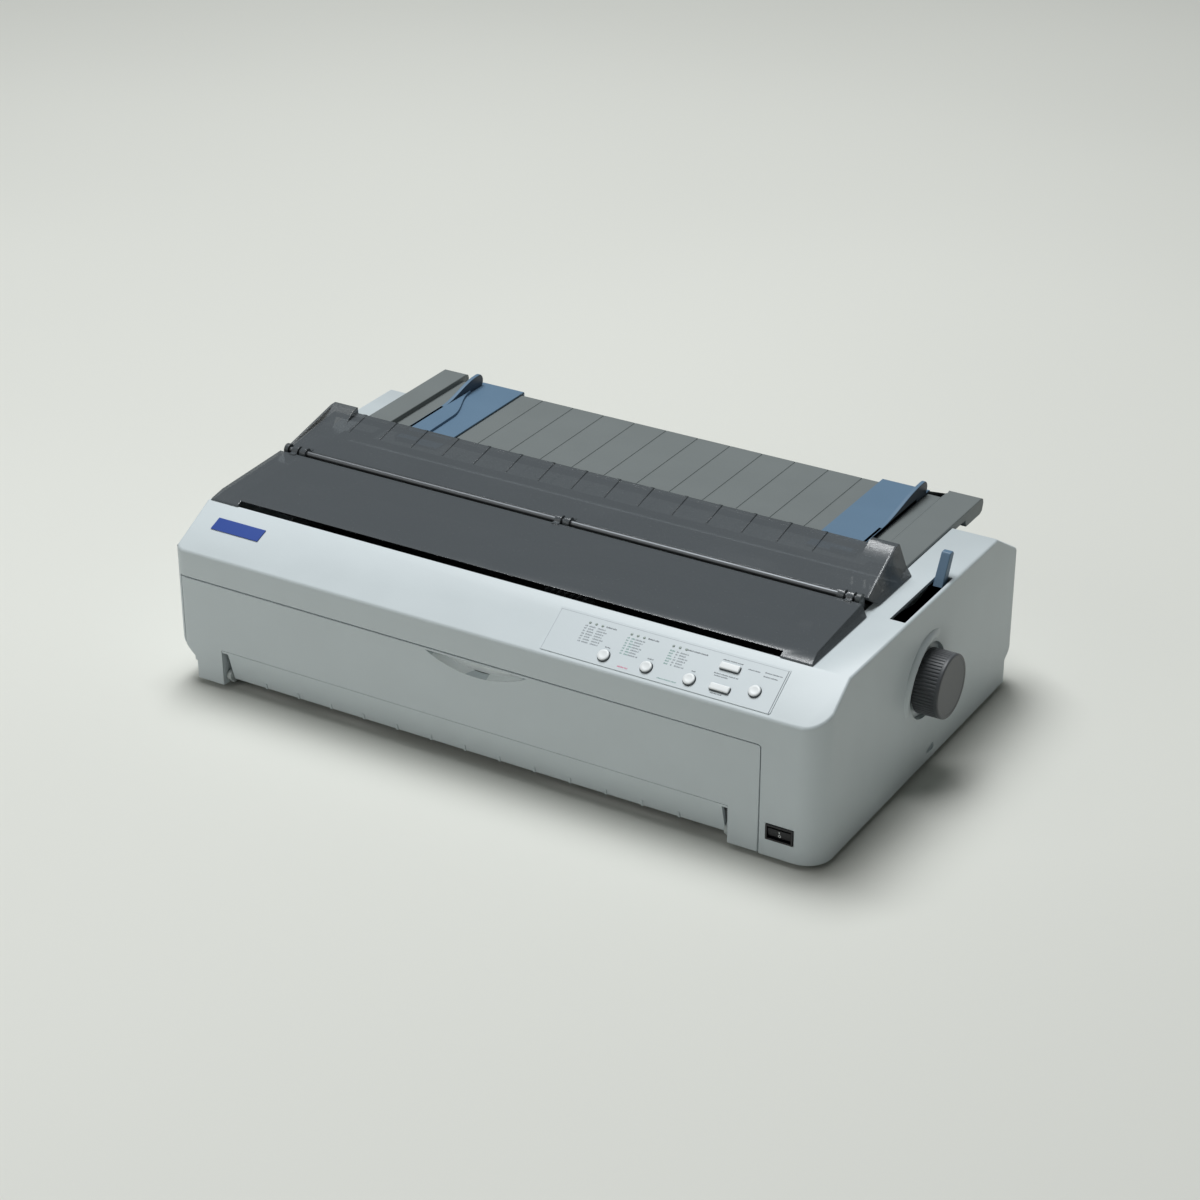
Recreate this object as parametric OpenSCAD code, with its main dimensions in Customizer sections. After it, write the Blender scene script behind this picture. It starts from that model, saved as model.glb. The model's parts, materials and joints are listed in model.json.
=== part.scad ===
// Wide-carriage impact printer: housing, hinged covers, sheet guide, paper feed and print mechanism.
// Layout frame: x = 0 on the middle of the housing, y = 0 on its front face, z = 0 on the table.
// placed() shifts that frame so that the origin is the middle of the whole printer's base.

/* [Housing] */
// Width of the housing at its front face
body_w = 604; // [590:1:640]
// Depth of the housing, front face to rear face
body_d = 363; // [355:1:385]
// Height of the flat top strips above the table
body_h = 150.3; // [147:0.1:160]
// Thickness of the housing walls
wall = 3; // [2.4:0.1:3.4]
// Height of the rubber feet
foot_h = 4; // [3:0.1:5]
// Radius of the rubber feet
foot_r = 9; // [7:0.5:11]
// Height of the crease between the front face and the sloping panel
crease_h = 123; // [120:0.5:126]
// Depth of the sloping panel, measured flat
slope_d = 44; // [43:0.5:46]
// Width of the flat strip left of the covers
left_strip_w = 20; // [17:0.5:23]
// Width of the flat strip right of the covers
right_strip_w = 40; // [36:0.5:42]
// Depth of the rear chamfer, measured flat
rear_slope_d = 50; // [44:1:54]
// Drop of the rear chamfer
rear_slope_drop = 30.3; // [27:0.1:33]
// How far the left side leans out below the crease
left_flare = 3; // [2:0.1:4]
// Height of the widest line of the left side
left_flare_h = 42; // [40:0.5:46]
// Depth of the hand-hold undercut of the left side
undercut_in = 17; // [14:0.5:18]
// Height where the hand-hold undercut ends below
undercut_h = 25; // [22:0.5:28]
// Corner radius at the right front
front_right_r = 22; // [16:0.5:24]
// Corner radius at the left front
front_left_r = 12; // [9:0.5:14]
// Corner radius at the rear
rear_r = 15; // [10:0.5:18]
// Height of the walls of the lower case
case_wall_h = 28; // [20:1:34]

/* [Front cover] */
// Height of the seam above the front cover
door_top = 99; // [96:0.5:102]
// Right edge of the front cover, from the right side of the housing
door_right_margin = 52.4; // [50:0.5:58]
// Left edge of the front cover, from the left side of the housing
door_left_margin = 4.5; // [4:0.1:6]
// Thickness of the front cover
door_t = 3.2; // [2.6:0.1:3.6]
// Height of the crease low on the front cover
door_crease_h = 38; // [34:0.5:42]
// Height of the lower edge of the tucked-in middle
door_low_h = 9; // [8:0.5:12]
// How far the tucked-in middle leans back
door_tuck = 8; // [6:0.2:9]
// Width of each hinge block of the front cover
door_block_w = 27; // [22:0.5:32]
// Height of the hinge axis of the front cover
door_axis_h = 12; // [11.5:0.1:13]
// Radius of the hinge pins of the front cover
door_pin_r = 3; // [2.5:0.1:3.2]
// Width of the finger grip
grip_w = 95; // [70:1:110]
// Height of the finger grip below the seam
grip_h = 12; // [10:0.5:15]
// Corner radius of the front cover at its top right
door_corner_r = 3; // [1:0.5:6]

/* [Covers] */
// Height of the front edge of the printer cover above the strips
cover_front_rise = 6.2; // [5:0.1:8]
// Height of the finger gap under the front edge of the printer cover
cover_gap_h = 3.2; // [2:0.1:4]
// Width of the feet at both ends of that gap
cover_gap_end = 28; // [20:0.5:40]
// Depth position of the hinge rod of the covers
rod_y = 142; // [138:0.5:146]
// Height of the hinge rod above the strips
rod_rise = 10.7; // [9.5:0.1:13]
// Radius of the hinge rod
rod_r = 2.5; // [2:0.1:2.8]
// Thickness of the smoked covers
cover_t = 2.2; // [1.8:0.1:2.6]
// Depth position of the ridge of the sheet guide cover
ridge_y = 212; // [206:0.5:214]
// Height of the ridge above the strips
ridge_rise = 28.7; // [26:0.1:31]
// Height of the end ears above the ribbed band
ear_rise = 5; // [3:0.1:7]
// Width of the end ears
ear_w = 24; // [18:0.5:28]
// Number of ribs on the band
rib_count = 15; // [9:1:15]
// Distance between the ribs of the band
rib_pitch = 32; // [28:0.5:33]

/* [Sheet guide] */
// Gap between each side of the sheet guide and the opening of the covers
tray_margin = 3; // [2:0.5:6]
// How far the sheet guide stands out behind the housing
tray_overhang = 14; // [8:0.5:18]
// Height of the rims of the sheet guide above the strips
tray_rim_rise = 2.2; // [1.5:0.1:4]
// Depth of the sheet bed below the rims
tray_bed_drop = 5; // [4:0.1:6]
// Thickness of the sheet bed
tray_t = 2; // [1.6:0.1:2.4]
// Width of the left rim of the sheet guide
tray_left_rim_w = 24; // [18:0.5:28]
// Width of the right rim of the sheet guide
tray_right_rim_w = 30; // [24:0.5:32]
// Number of grooves in the sheet bed
groove_count = 13; // [7:1:13]
// Width of the edge guides
guide_w = 44; // [36:0.5:48]
// Height of the upright tab of the edge guides
guide_tab_h = 14; // [10:0.5:18]
// Thickness of the upright fence of the edge guides
guide_fence_t = 5; // [4:0.2:7]
// Position of the left edge guide from the left rim
left_guide_gap = 19; // [6:0.5:30]
// Position of the right edge guide from the right rim
right_guide_gap = 17; // [6:0.5:30]

/* [Control panel] */
// Width of the overlay
panel_w = 202; // [196:1:210]
// Right edge of the overlay, from the right side of the housing
panel_right_margin = 47.5; // [44:0.5:52]
// Length of the overlay up the slope
panel_l = 40.5; // [38:0.5:42]
// Lower edge of the overlay, up the slope from the crease
panel_s = 4.2; // [3:0.1:6]
// Thickness of the overlay
panel_t = 0.6; // [0.4:0.1:1]
// Radius of the round buttons
button_r = 5; // [4:0.1:5.5]
// Length of the oblong buttons
bar_button_l = 17; // [14:0.5:18]
// Width of the oblong buttons
bar_button_w = 6; // [5:0.1:7]
// How far the buttons stand out
button_out = 2.8; // [1.8:0.1:3.2]
// Width of the name plate place
badge_w = 48; // [40:0.5:54]
// Height of the name plate place
badge_l = 12; // [10:0.5:14]
// Width of the power switch
switch_w = 24; // [22:0.5:26]
// Height of the power switch
switch_h = 14; // [12:0.5:16]
// Height of the middle of the power switch
switch_z = 26; // [24:0.5:32]

/* [Knob and lever] */
// Radius of the paper feed knob
knob_r = 27; // [24:0.5:29]
// How far the paper feed knob stands out from the right side
knob_out = 21; // [17:0.5:25]
// Depth of the round pocket around the knob
knob_pocket = 4.4; // [3.6:0.1:5]
// How far the pocket is wider than the knob
knob_pocket_gap = 5; // [3:0.5:6]
// Depth position of the paper feed axis
feed_y = 183; // [181:0.5:185]
// Drop of the paper feed axis below the top strips
feed_drop = 68.3; // [66:0.1:70]
// Width of the release lever
lever_w = 8; // [6:0.5:9]
// Length of the lever slot
lever_slot_l = 88; // [84:1:92]
// Width of the lever slot
lever_slot_w = 13; // [11:0.5:15]

/* [Mechanism] */
// Radius of the platen
platen_r = 19; // [17:0.5:20]
// Gap between the platen and each frame plate
platen_margin = 28; // [26:1:40]
// Radius of the platen shaft
shaft_r = 4; // [3.5:0.1:4.5]
// Room between the left side of the housing and the left frame plate
frame_left_room = 46; // [44:1:50]
// Room between the right frame plate and the right side of the housing
frame_right_room = 60; // [56:1:62]
// Thickness of the frame plates
frame_t = 2; // [1.5:0.1:2.5]
// Radius of the carriage rod
guide_rod_r = 5; // [4:0.1:5.5]
// Width of the carriage
carriage_w = 50; // [40:1:56]
// Radius of the belt pulleys
pulley_r = 8; // [7:0.2:9]
// Tooth size of the paper feed gears
gear_module = 1; // [0.98:0.01:1.02]
// Width of the gears
gear_w = 6; // [4:0.5:6]
// Width of each tractor
tractor_w = 22; // [18:0.5:24]
// Radius of the tractor shafts
tractor_shaft_r = 3; // [2.5:0.1:3.2]

/* [Clearances] */
// Gap between parts that only lie beside each other
part_gap = 0.4; // [0.3:0.05:0.6]
// Radial clearance of a shaft in its bore
run_gap = 0.06; // [0.03:0.01:0.09]

/* [Hidden] */
$fn = 48;

// Housing levels and edges.
eps = 0.01;
far = 400;
left_x = -body_w / 2;
right_x = body_w / 2;
strip_left_x = left_x + left_strip_w;
strip_right_x = right_x - right_strip_w;
top_draft = 1.5;
left_top_draft = 3;
slope_a = atan((body_h - crease_h) / slope_d);
rear_a = atan(rear_slope_drop / rear_slope_d);
slope_len = norm([slope_d, body_h - crease_h]);
rear_tuck_y = 21;
rear_tuck_h = 41;
case_floor_t = 3;
side_notch_y = 190;
side_notch_d = 2;
floor_z = foot_h + case_floor_t;

// Covers.
cover_left_x = left_x + 6;
cover_right_x = strip_right_x + 6.6;
cover_base_z = body_h + part_gap;
cover_front_y = slope_d;
rod_z = body_h + rod_rise;
ridge_z = body_h + ridge_rise;
cover_lean = 5;
ridge_lean = 10;
knuckle_r = 5;
knuckle_w = 6;
hinge_gap = knuckle_r + 0.6;
lug_t = 4;
left_lug_x = left_x + 14;
right_lug_x = strip_right_x - 5;
rod_x0 = left_lug_x;
rod_x1 = right_lug_x + lug_t;

// Sheet guide.
tray_pivot_y = ridge_y + 12;
tray_rear_y = body_d + tray_overhang;
tray_x0 = strip_left_x + tray_margin;
tray_x1 = strip_right_x - tray_margin;
tray_rim_z = body_h + tray_rim_rise;
tray_bed_z = tray_rim_z - tray_bed_drop;
tray_pivot_z = tray_bed_z - 3.5;
tray_pin_r = 2.5;
tray_front_y = tray_pivot_y - 3;
deck_z = tray_bed_z - tray_t - 4.5;
deck_y = tray_pivot_y + 5;
deck_front_y = tray_pivot_y - 6;

// Origin: the middle of the whole printer's base.
left_extent = left_x - left_flare;
knob_x0 = right_x - knob_pocket + 1.9;
knob_x1 = right_x + knob_out;
origin_x = (left_extent + knob_x1) / 2;
switch_out = 1;
origin_y = (tray_rear_y - switch_out) / 2;

// Front cover.
door_x0 = left_x + door_left_margin;
door_x1 = right_x - door_right_margin;
block_left_x0 = door_x0 + 11.5;
block_left_x1 = block_left_x0 + door_block_w;
block_right_x0 = door_x1 - door_block_w;
door_axis_y = door_tuck;
door_block_d = 5;
door_block_z0 = foot_h + 0.5;
door_swing_r = norm([door_block_d, door_axis_h - door_block_z0]) + part_gap;
door_rib_pitch = 33;
hinge_lug_w = 4;
hinge_lug_gap = 0.7;
grip_x = (door_x0 + door_x1) / 2 + 19;

// Mechanism.
feed_z = body_h - feed_drop;
frame_x0 = left_x + frame_left_room;
frame_x1 = right_x - frame_right_room;
frame_w = frame_x1 - frame_x0;
frame_top_z = feed_z + 40;
frame_front_y = 22;
frame_rear_y = feed_y + 52;
platen_x0 = frame_x0 + platen_margin;
roller_end_x = frame_x1 - platen_margin - 6;
gear_x0 = frame_x1 + 2;
carriage_rod_y = feed_y - platen_r - 59;
carriage_rod_z = feed_z - 10;
belt_y = carriage_rod_y - 11;
belt_z = carriage_rod_z - 22;
belt_h = 6;
belt_t = 1.5;
idle_x = frame_x0 + 21;
drive_x = frame_x1 - 25;
pulley_shaft_r = 2.5;
motor_r = 18;
feed_motor_len = 24;
gear_angle = 10;
platen_teeth = 44;
idler_teeth = 50;
tractor_teeth = 24;
pinion_teeth = 12;
platen_c = [feed_y, feed_z];
idler_1_c = platen_c + gear_step(platen_teeth + idler_teeth, 180 + gear_angle);
idler_2_c = idler_1_c + gear_step(idler_teeth * 2, 180 + gear_angle);
tractor_c = idler_2_c + gear_step(idler_teeth + tractor_teeth, 180 + gear_angle);
pinion_angle = -60;
pinion_c = platen_c + gear_step(platen_teeth + pinion_teeth, pinion_angle);
idler_1_turn = mesh_turn(0, platen_teeth, idler_teeth, 180 + gear_angle);
idler_2_turn = mesh_turn(idler_1_turn, idler_teeth, idler_teeth, 180 + gear_angle);
tractor_turn = mesh_turn(idler_2_turn, idler_teeth, tractor_teeth, 180 + gear_angle);
pinion_turn = mesh_turn(0, platen_teeth, pinion_teeth, pinion_angle);
idler_pin_r = 3;
support_shaft_c = tractor_c + [-21, 0];
tractor_y0 = support_shaft_c[0] - 8;
tractor_y1 = tractor_c[0] + 10;
tractor_z0 = tractor_c[1] - 10;
tractor_z1 = tractor_c[1] + 12;
tractor_left_x = frame_x0 + 52;
tractor_right_x = frame_x1 - 80;
flap_t = 3;
paper_guide_left_room = 64;
paper_guide_right_room = 124;
head_tip_y = feed_y - platen_r - 1.4;
cartridge_y0 = carriage_rod_y - 5;
cartridge_y1 = carriage_rod_y + 35;
cartridge_h = 15;
cartridge_rib_pitch = 32;
cartridge_x1 = frame_x1 - 36;
board_z = floor_z + 7;
board_t = 1.6;
board_y0 = body_d - 95;
board_y1 = body_d - 30;
main_board_x = frame_x0 + 8;
main_board_w = frame_w / 2 - 23;
power_board_w = frame_w / 2 - 44;
power_board_x = frame_x1 - 7 - power_board_w;
port_z = 56;
port_x = [left_x + 92, left_x + 142, left_x + 214, right_x - 62];
fan_x = right_x - 140;
fan_half = 30;
fan_z = rear_tuck_h + fan_half + 1;

// Places along the sloping panel.
panel_x1 = right_x - panel_right_margin;
panel_x0 = panel_x1 - panel_w;
round_buttons = [[panel_x0 + 54, 13], [panel_x0 + 91.5, 13.4], [panel_x0 + 129, 13.4], [panel_x1 - 19.3,
    18.8]];
bar_buttons = [[panel_x1 - 46.5, 32.2], [panel_x1 - 46.5, 13.2]];
light_s = 37.2;
light_r = 1.1;
light_step = 5.6;
light_x = [for (g = [29.8, 67, 104]) for (i = [0 : 2]) panel_x0 + g + i * light_step];

// Power switch.
switch_x1 = right_x - 22.5;
switch_x0 = switch_x1 - switch_w;
switch_depth = 12;
switch_pin_y = 5;
switch_pin_r = 1.5;

// Release lever.
slot_x0 = right_x - 17.6;
slot_y0 = feed_y - 39.5;
slot_z0 = body_h - wall;
lever_x0 = slot_x0 + (lever_slot_w - lever_w) / 2;
lever_c = [feed_y + 5, feed_z + 23];
lever_hub_r = 9;
lever_pin_r = 4;

// Distance between the axes of two gears that share a number of teeth, along an angle.
function gear_step(teeth, angle) = gear_module * teeth / 2 * [cos(angle), sin(angle)];
// Turn of the second gear that puts its gap on the first gear's tooth.
function mesh_turn(turn, teeth_1, teeth_2, angle) =
    angle + 180 - (0.5 - (angle - turn) * teeth_1 / 360) * 360 / teeth_2;
// Depth at which the inset sloping panel reaches a height.
function slope_y(z, inset) = (z - crease_h + inset / cos(slope_a)) / tan(slope_a);
// Depth at which the inset rear chamfer reaches a height.
function chamfer_y(z, inset) =
    body_d - rear_slope_d + (body_h - z - inset / cos(rear_a)) / tan(rear_a);

// Puts a part laid out in the layout frame on the printer's origin.
module placed() {
    translate([-origin_x, -origin_y, 0]) children();
}
// Stands a (y, z) outline up and carries it along x.
module along_x(x0, x1) {
    translate([x0, 0, 0]) rotate([90, 0, 90]) linear_extrude(x1 - x0) children();
}
// Stands an (x, z) outline up and carries it along y.
module along_y(y0, y1) {
    translate([0, y1, 0]) rotate([90, 0, 0]) linear_extrude(y1 - y0) children();
}
// A box between two corners.
module block(low, high) {
    translate(low) cube(high - low);
}
// A round bar along x.
module bar_x(x0, x1, c, r) {
    translate([x0, c[0], c[1]]) rotate([0, 90, 0]) cylinder(r = r, h = x1 - x0);
}
// A round bar along y.
module bar_y(y0, y1, x, z, r) {
    translate([x, y0, z]) rotate([-90, 0, 0]) cylinder(r = r, h = y1 - y0);
}
// A square slab with round corners, lying flat.
module soft_slab(w, l, h, r) {
    union() {
        translate([r, 0, 0]) cube([w - 2 * r, l, h]);
        translate([0, r, 0]) cube([w, l - 2 * r, h]);
        for (x = [r, w - r], y = [r, l - r]) translate([x, y, 0]) cylinder(r = r, h = h);
    }
}
// Moves children onto the sloping panel: x along it, y up it, z out of it.
module on_slope(x, s) {
    translate([x, 0, crease_h]) rotate([slope_a, 0, 0]) translate([0, s, 0]) children();
}
// What an upright edge loses when it is rounded; the corner points to +x and +y.
module corner_waste(r) {
    difference() {
        translate([-r, -r]) square(r + 2);
        translate([-r, -r]) circle(r);
    }
}
// The housing's outer form, inset all round by a distance and cut off below a height.
module envelope(inset, z0) {
    top = body_h - inset;
    difference() {
        intersection() {
            along_x(left_x - 20, right_x + 20) polygon([
                [inset, z0], [inset, crease_h + inset * tan(slope_a) - inset / cos(slope_a)],
                [slope_y(top, inset), top], [chamfer_y(top, inset), top],
                [body_d - inset, body_h - rear_slope_drop + inset * tan(rear_a) - inset / cos(rear_a)],
                [body_d - inset, rear_tuck_h], [body_d - inset - rear_tuck_y, undercut_h],
                [body_d - inset - rear_tuck_y, z0]]);
            along_y(-20, body_d + 20) polygon([
                [left_x + undercut_in - 1 + inset, z0], [left_x + undercut_in - 3 + inset, undercut_h],
                [left_x - left_flare + inset, left_flare_h], [left_x + inset, crease_h],
                [left_x + left_top_draft + inset, body_h + 1], [right_x - top_draft - inset, body_h + 1],
                [right_x - inset, crease_h - 5], [right_x - inset, z0]]);
        }
        translate([right_x - inset, inset, z0 - 1]) mirror([0, 1, 0])
            linear_extrude(far) corner_waste(front_right_r - inset);
        translate([left_x - left_flare + inset, inset, z0 - 1]) mirror([1, 0, 0]) mirror([0, 1, 0])
            linear_extrude(far) corner_waste(front_left_r - inset);
        translate([right_x - inset, body_d - inset, z0 - 1])
            linear_extrude(far) corner_waste(rear_r - inset);
        translate([left_x - left_flare + inset, body_d - inset, z0 - 1]) mirror([1, 0, 0])
            linear_extrude(far) corner_waste(rear_r - inset);
    }
}
// A gear outline with straight-sided teeth and its first tooth at an angle.
module gear_outline(teeth, turn) {
    pitch_r = gear_module * teeth / 2;
    root_r = pitch_r - 1.2 * gear_module;
    tip_r = pitch_r + 0.9 * gear_module;
    root_w = 0.95 * gear_module;
    tip_w = 0.36 * gear_module;
    union() {
        circle(root_r);
        for (i = [0 : teeth - 1]) rotate(turn + i * 360 / teeth)
            polygon([[root_r - 0.5, -root_w], [tip_r, -tip_w], [tip_r, tip_w], [root_r - 0.5, root_w]]);
    }
}
// A gear on an axis along x, at a (y, z) centre.
module gear(teeth, turn, c, x0, bore_r) {
    difference() {
        along_x(x0, x0 + gear_w) translate(c) gear_outline(teeth, turn);
        bar_x(x0 - 1, x0 + gear_w + 1, c, bore_r);
    }
}

// ---- Housing ----

// The lower case: a pan inside the housing's walls, with the bearings of the front cover.
module lower_case() {
    inset = wall + part_gap;
    case_t = 2.5;
    color("silver") placed() difference() {
        union() {
            difference() {
                envelope(inset, foot_h);
                block([left_x - 20, -1, case_wall_h], [right_x + 20, body_d + 1, body_h + 1]);
                difference() {
                    envelope(inset + case_t, floor_z);
                    block([left_x - 20, -1, foot_h - 1], [right_x + 20, body_d + 1, floor_z]);
                }
                block([left_x - 20, -1, foot_h - 1], [door_x1 + 3, 18, body_h]);
            }
            for (x = [block_left_x1 + hinge_lug_gap, block_right_x0 - hinge_lug_gap - hinge_lug_w])
                hinge_lug(x);
            bar_x(block_left_x1 - 8, block_left_x1 + hinge_lug_gap + 1, [door_axis_y, door_axis_h],
                door_pin_r);
            bar_x(block_right_x0 - hinge_lug_gap - 1, block_right_x0 + 8,
                [door_axis_y, door_axis_h], door_pin_r);
            for (x = [main_board_x + 8, main_board_x + main_board_w - 8,
                power_board_x + 8, power_board_x + power_board_w - 8], y = [board_y0 + 6, board_y1 - 6])
                translate([x, y, floor_z - 1]) cylinder(r = 3, h = board_z - floor_z + 1);
            translate([idle_x, belt_y, floor_z - 1]) cylinder(r = 7, h = belt_z - 1 - floor_z);
            translate([idle_x, belt_y, floor_z - 1]) cylinder(r = pulley_shaft_r,
                h = belt_z + belt_h - floor_z);
        }
        for (x = [left_x + 70, right_x - 60], y = [32, body_d - 40])
            translate([x, y, foot_h - 1]) cylinder(r = foot_r - 3, h = 2.5);
        block([switch_x0 - 1, -1, switch_z - switch_h / 2 - 1], [switch_x1 + 1, switch_depth + 4,
            case_wall_h + 1]);
    }
}
module hinge_lug(x) {
    union() {
        block([x, door_axis_y, foot_h + 1], [x + hinge_lug_w, 20, floor_z]);
        block([x, door_axis_y, foot_h + 1], [x + hinge_lug_w, 14, door_axis_h + 4.5]);
        bar_x(x, x + hinge_lug_w, [door_axis_y, door_axis_h], 4.5);
        block([x, 13, foot_h + 1], [x + hinge_lug_w, 24, case_wall_h - 10]);
    }
}

// The upper housing: strips, sloping panel, sides and rear, open at the top for the mechanism.
module upper_housing() {
    color("gainsboro") placed() difference() {
        union() {
            difference() {
                envelope(0, foot_h);
                envelope(wall, foot_h - 5);
            }
            deck_tray();
            rod_lug(left_lug_x, 0);
            rod_lug(right_lug_x, 1);
            bar_x(lever_x0 - 1, right_x - wall + 1, lever_c, lever_pin_r);
            bar_x(right_x - knob_pocket - 2, right_x - 1, platen_c, knob_r + knob_pocket_gap + 2);
        }
        along_y(-1, wall + 9) door_plan(part_gap);
        block([door_x0 - part_gap, -1, foot_h - 1], [block_left_x1 + part_gap, door_axis_y + door_swing_r,
            door_axis_h + door_swing_r]);
        block([strip_left_x, slope_d + 2, deck_z - 20], [strip_right_x, deck_front_y, body_h + 1]);
        block([tray_x0 - part_gap, deck_front_y - 1, deck_z], [tray_x1 + part_gap, body_d + 1, body_h + 2]);
        block([slot_x0, slot_y0, slot_z0 - 1], [slot_x0 + lever_slot_w, slot_y0 + lever_slot_l,
            body_h + 1]);
        bar_x(right_x - knob_pocket - 3, right_x + 1, platen_c, shaft_r + 2);
        bar_x(right_x - knob_pocket, right_x + 1, platen_c, knob_r + knob_pocket_gap);
        for (x = [left_lug_x - 1, right_lug_x - 1]) bar_x(x, x + lug_t + 2, [rod_y, rod_z],
            rod_r + run_gap);
        bar_x(tray_x0 - 6.5, tray_x0 + 1, [tray_pivot_y, tray_pivot_z], tray_pin_r + run_gap);
        bar_x(tray_x1 - 1, tray_x1 + 6.5, [tray_pivot_y, tray_pivot_z], tray_pin_r + run_gap);
        panel_cuts();
        switch_cut();
        rear_cuts();
        block([right_x - side_notch_d, side_notch_y, 11], [right_x + 1, side_notch_y + 12, 16.5]);
    }
}
// The recess that the sheet guide lies in.
module deck_tray() {
    side_t = 3.5;
    intersection() {
        envelope(0.2, foot_h);
        block([tray_x0 - part_gap - side_t, deck_front_y, deck_z - wall],
            [tray_x1 + part_gap + side_t, body_d, body_h + 1]);
    }
}
module rod_lug(x, side) {
    union() {
        block([x, rod_y - knuckle_r, body_h - wall], [x + lug_t, rod_y + knuckle_r, rod_z]);
        bar_x(x, x + lug_t, [rod_y, rod_z], knuckle_r);
        if (side == 1)
            block([x, rod_y - knuckle_r, body_h - wall - 5], [strip_right_x + 5, rod_y + knuckle_r,
                body_h - 0.5]);
    }
}
// The front cover seen from the front, grown by a gap, with its top right corner rounded.
module door_plan(gap) {
    difference() {
        translate([door_x0 - gap, foot_h - 1]) square([door_x1 - door_x0 + 2 * gap,
            door_top + gap - foot_h + 1]);
        translate([door_x1 + gap, door_top + gap]) corner_waste(door_corner_r + gap);
    }
}
// Holes in the sloping panel for the buttons and lights.
module panel_cuts() {
    for (b = round_buttons) on_slope(b[0], b[1]) translate([0, 0, -far / 20])
        cylinder(r = button_r + part_gap, h = far / 10);
    for (b = bar_buttons) on_slope(b[0] - bar_button_l / 2 - part_gap, b[1] - bar_button_w / 2 - part_gap)
        translate([0, 0, -far / 20])
        soft_slab(bar_button_l + 2 * part_gap, bar_button_w + 2 * part_gap, far / 10, 2.4);
    for (x = light_x) on_slope(x, light_s) translate([0, 0, -far / 20]) cylinder(r = light_r, h = far / 10);
}
module switch_cut() {
    block([switch_x0, -1, switch_z - switch_h / 2], [switch_x1, wall + 2, switch_z + switch_h / 2]);
}
// Openings of the rear wall: paper slot, ports, inlet and air slots.
module rear_cuts() {
    y0 = body_d - wall - 1;
    y1 = body_d + 1;
    block([tray_x0 + 50, y0, port_z + 44], [tray_x1 - 40, y1, port_z + 58]);
    block([port_x[0] - 31, y0, port_z - 9], [port_x[0] + 31, y1, port_z + 9]);
    block([port_x[1] - 8, y0, port_z - 8], [port_x[1] + 8, y1, port_z + 8]);
    block([port_x[2] - 52, y0, port_z - 12], [port_x[2] + 52, y1, port_z + 12]);
    block([port_x[3] - 15, y0, port_z - 12], [port_x[3] + 15, y1, port_z + 12]);
    for (i = [0 : 9]) block([fan_x - 27 + 6 * i, y0, fan_z - 25], [fan_x - 24 + 6 * i, y1, fan_z + 25]);
}

// Four feet under the case.
module rubber_feet() {
    color("dimgray") placed() for (x = [left_x + 70, right_x - 60], y = [32, body_d - 40]) translate([x,
        y, 0]) {
        cylinder(r = foot_r, h = foot_h);
        translate([0, 0, foot_h - eps]) cylinder(r = foot_r - 3.3, h = 1 + eps);
    }
}

// The front cover, hinged at its foot, with a finger grip under the seam.
module front_cover() {
    axis = [door_axis_y, door_axis_h];
    tuck_slope = door_tuck / (door_crease_h - door_low_h);
    middle_x0 = block_left_x1 + 2 * hinge_lug_gap + hinge_lug_w;
    middle_x1 = block_right_x0 - 2 * hinge_lug_gap - hinge_lug_w;
    color("lightgray") placed() difference() {
        union() {
            intersection() {
                envelope(0, 0);
                along_y(-1, wall + 9) door_plan(0);
                union() {
                    along_x(door_x0, door_x1) polygon([[0, door_crease_h - 0.5], [door_t,
                        door_crease_h - 0.5],
                        [door_t, door_top - 6], [door_t + 5, door_top - 3], [door_t + 5, door_top],
                        [0, door_top]]);
                    block([door_x0, 0, door_axis_h + door_swing_r], [block_left_x0 + 1, door_t,
                        door_crease_h]);
                }
            }
            along_x(middle_x0, middle_x1) polygon([[0, door_crease_h], [door_tuck, door_low_h],
                [door_tuck + door_t, door_low_h], [door_t, door_crease_h + 1]]);
            along_x(block_left_x1, block_right_x0) polygon([[0, door_crease_h], [3 * tuck_slope,
                door_crease_h - 3],
                [3 * tuck_slope + door_t, door_crease_h - 3], [door_t, door_crease_h + 1]]);
            for (x = [block_left_x0, block_right_x0]) along_x(x, x + door_block_w)
                polygon([[0, door_crease_h], [0, door_block_z0], [door_axis_y + door_block_d,
                    door_block_z0],
                    [door_axis_y + door_block_d, door_axis_h + 5], [door_t, door_crease_h + 6]]);
            along_x(middle_x0 + 14, middle_x0 + 17) grip_rib();
            along_x(middle_x1 - 17, middle_x1 - 14) grip_rib();
            for (x = [middle_x0 + door_rib_pitch : door_rib_pitch : middle_x1 - door_rib_pitch])
                along_x(x, x + 2)
                polygon([[door_tuck - 0.8, door_low_h - 0.2], [door_tuck + 2, door_low_h - 0.2],
                    [door_tuck, door_low_h + 8], [door_tuck - 2.2, door_low_h + 5]]);
            along_x(grip_x - grip_w / 2 - 4, grip_x + grip_w / 2 + 4)
                polygon([[door_t - 1, door_top - 1], [door_t - 1, door_top - grip_h - 9],
                    [door_t + 9, door_top - grip_h], [door_t + 9, door_top - 1]]);
        }
        grip_pocket();
        bar_x(block_left_x1 - 9, block_left_x1 + 1, axis, door_pin_r + run_gap);
        bar_x(block_right_x0 - 1, block_right_x0 + 9, axis, door_pin_r + run_gap);
    }
}
module grip_rib() {
    polygon([[door_tuck + 1, door_low_h + 1], [door_tuck + 7, door_low_h + 12],
        [door_t + 5, door_top - 30], [door_t - 0.5, door_top - 14], [door_t - 0.5, door_crease_h]]);
}
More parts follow.
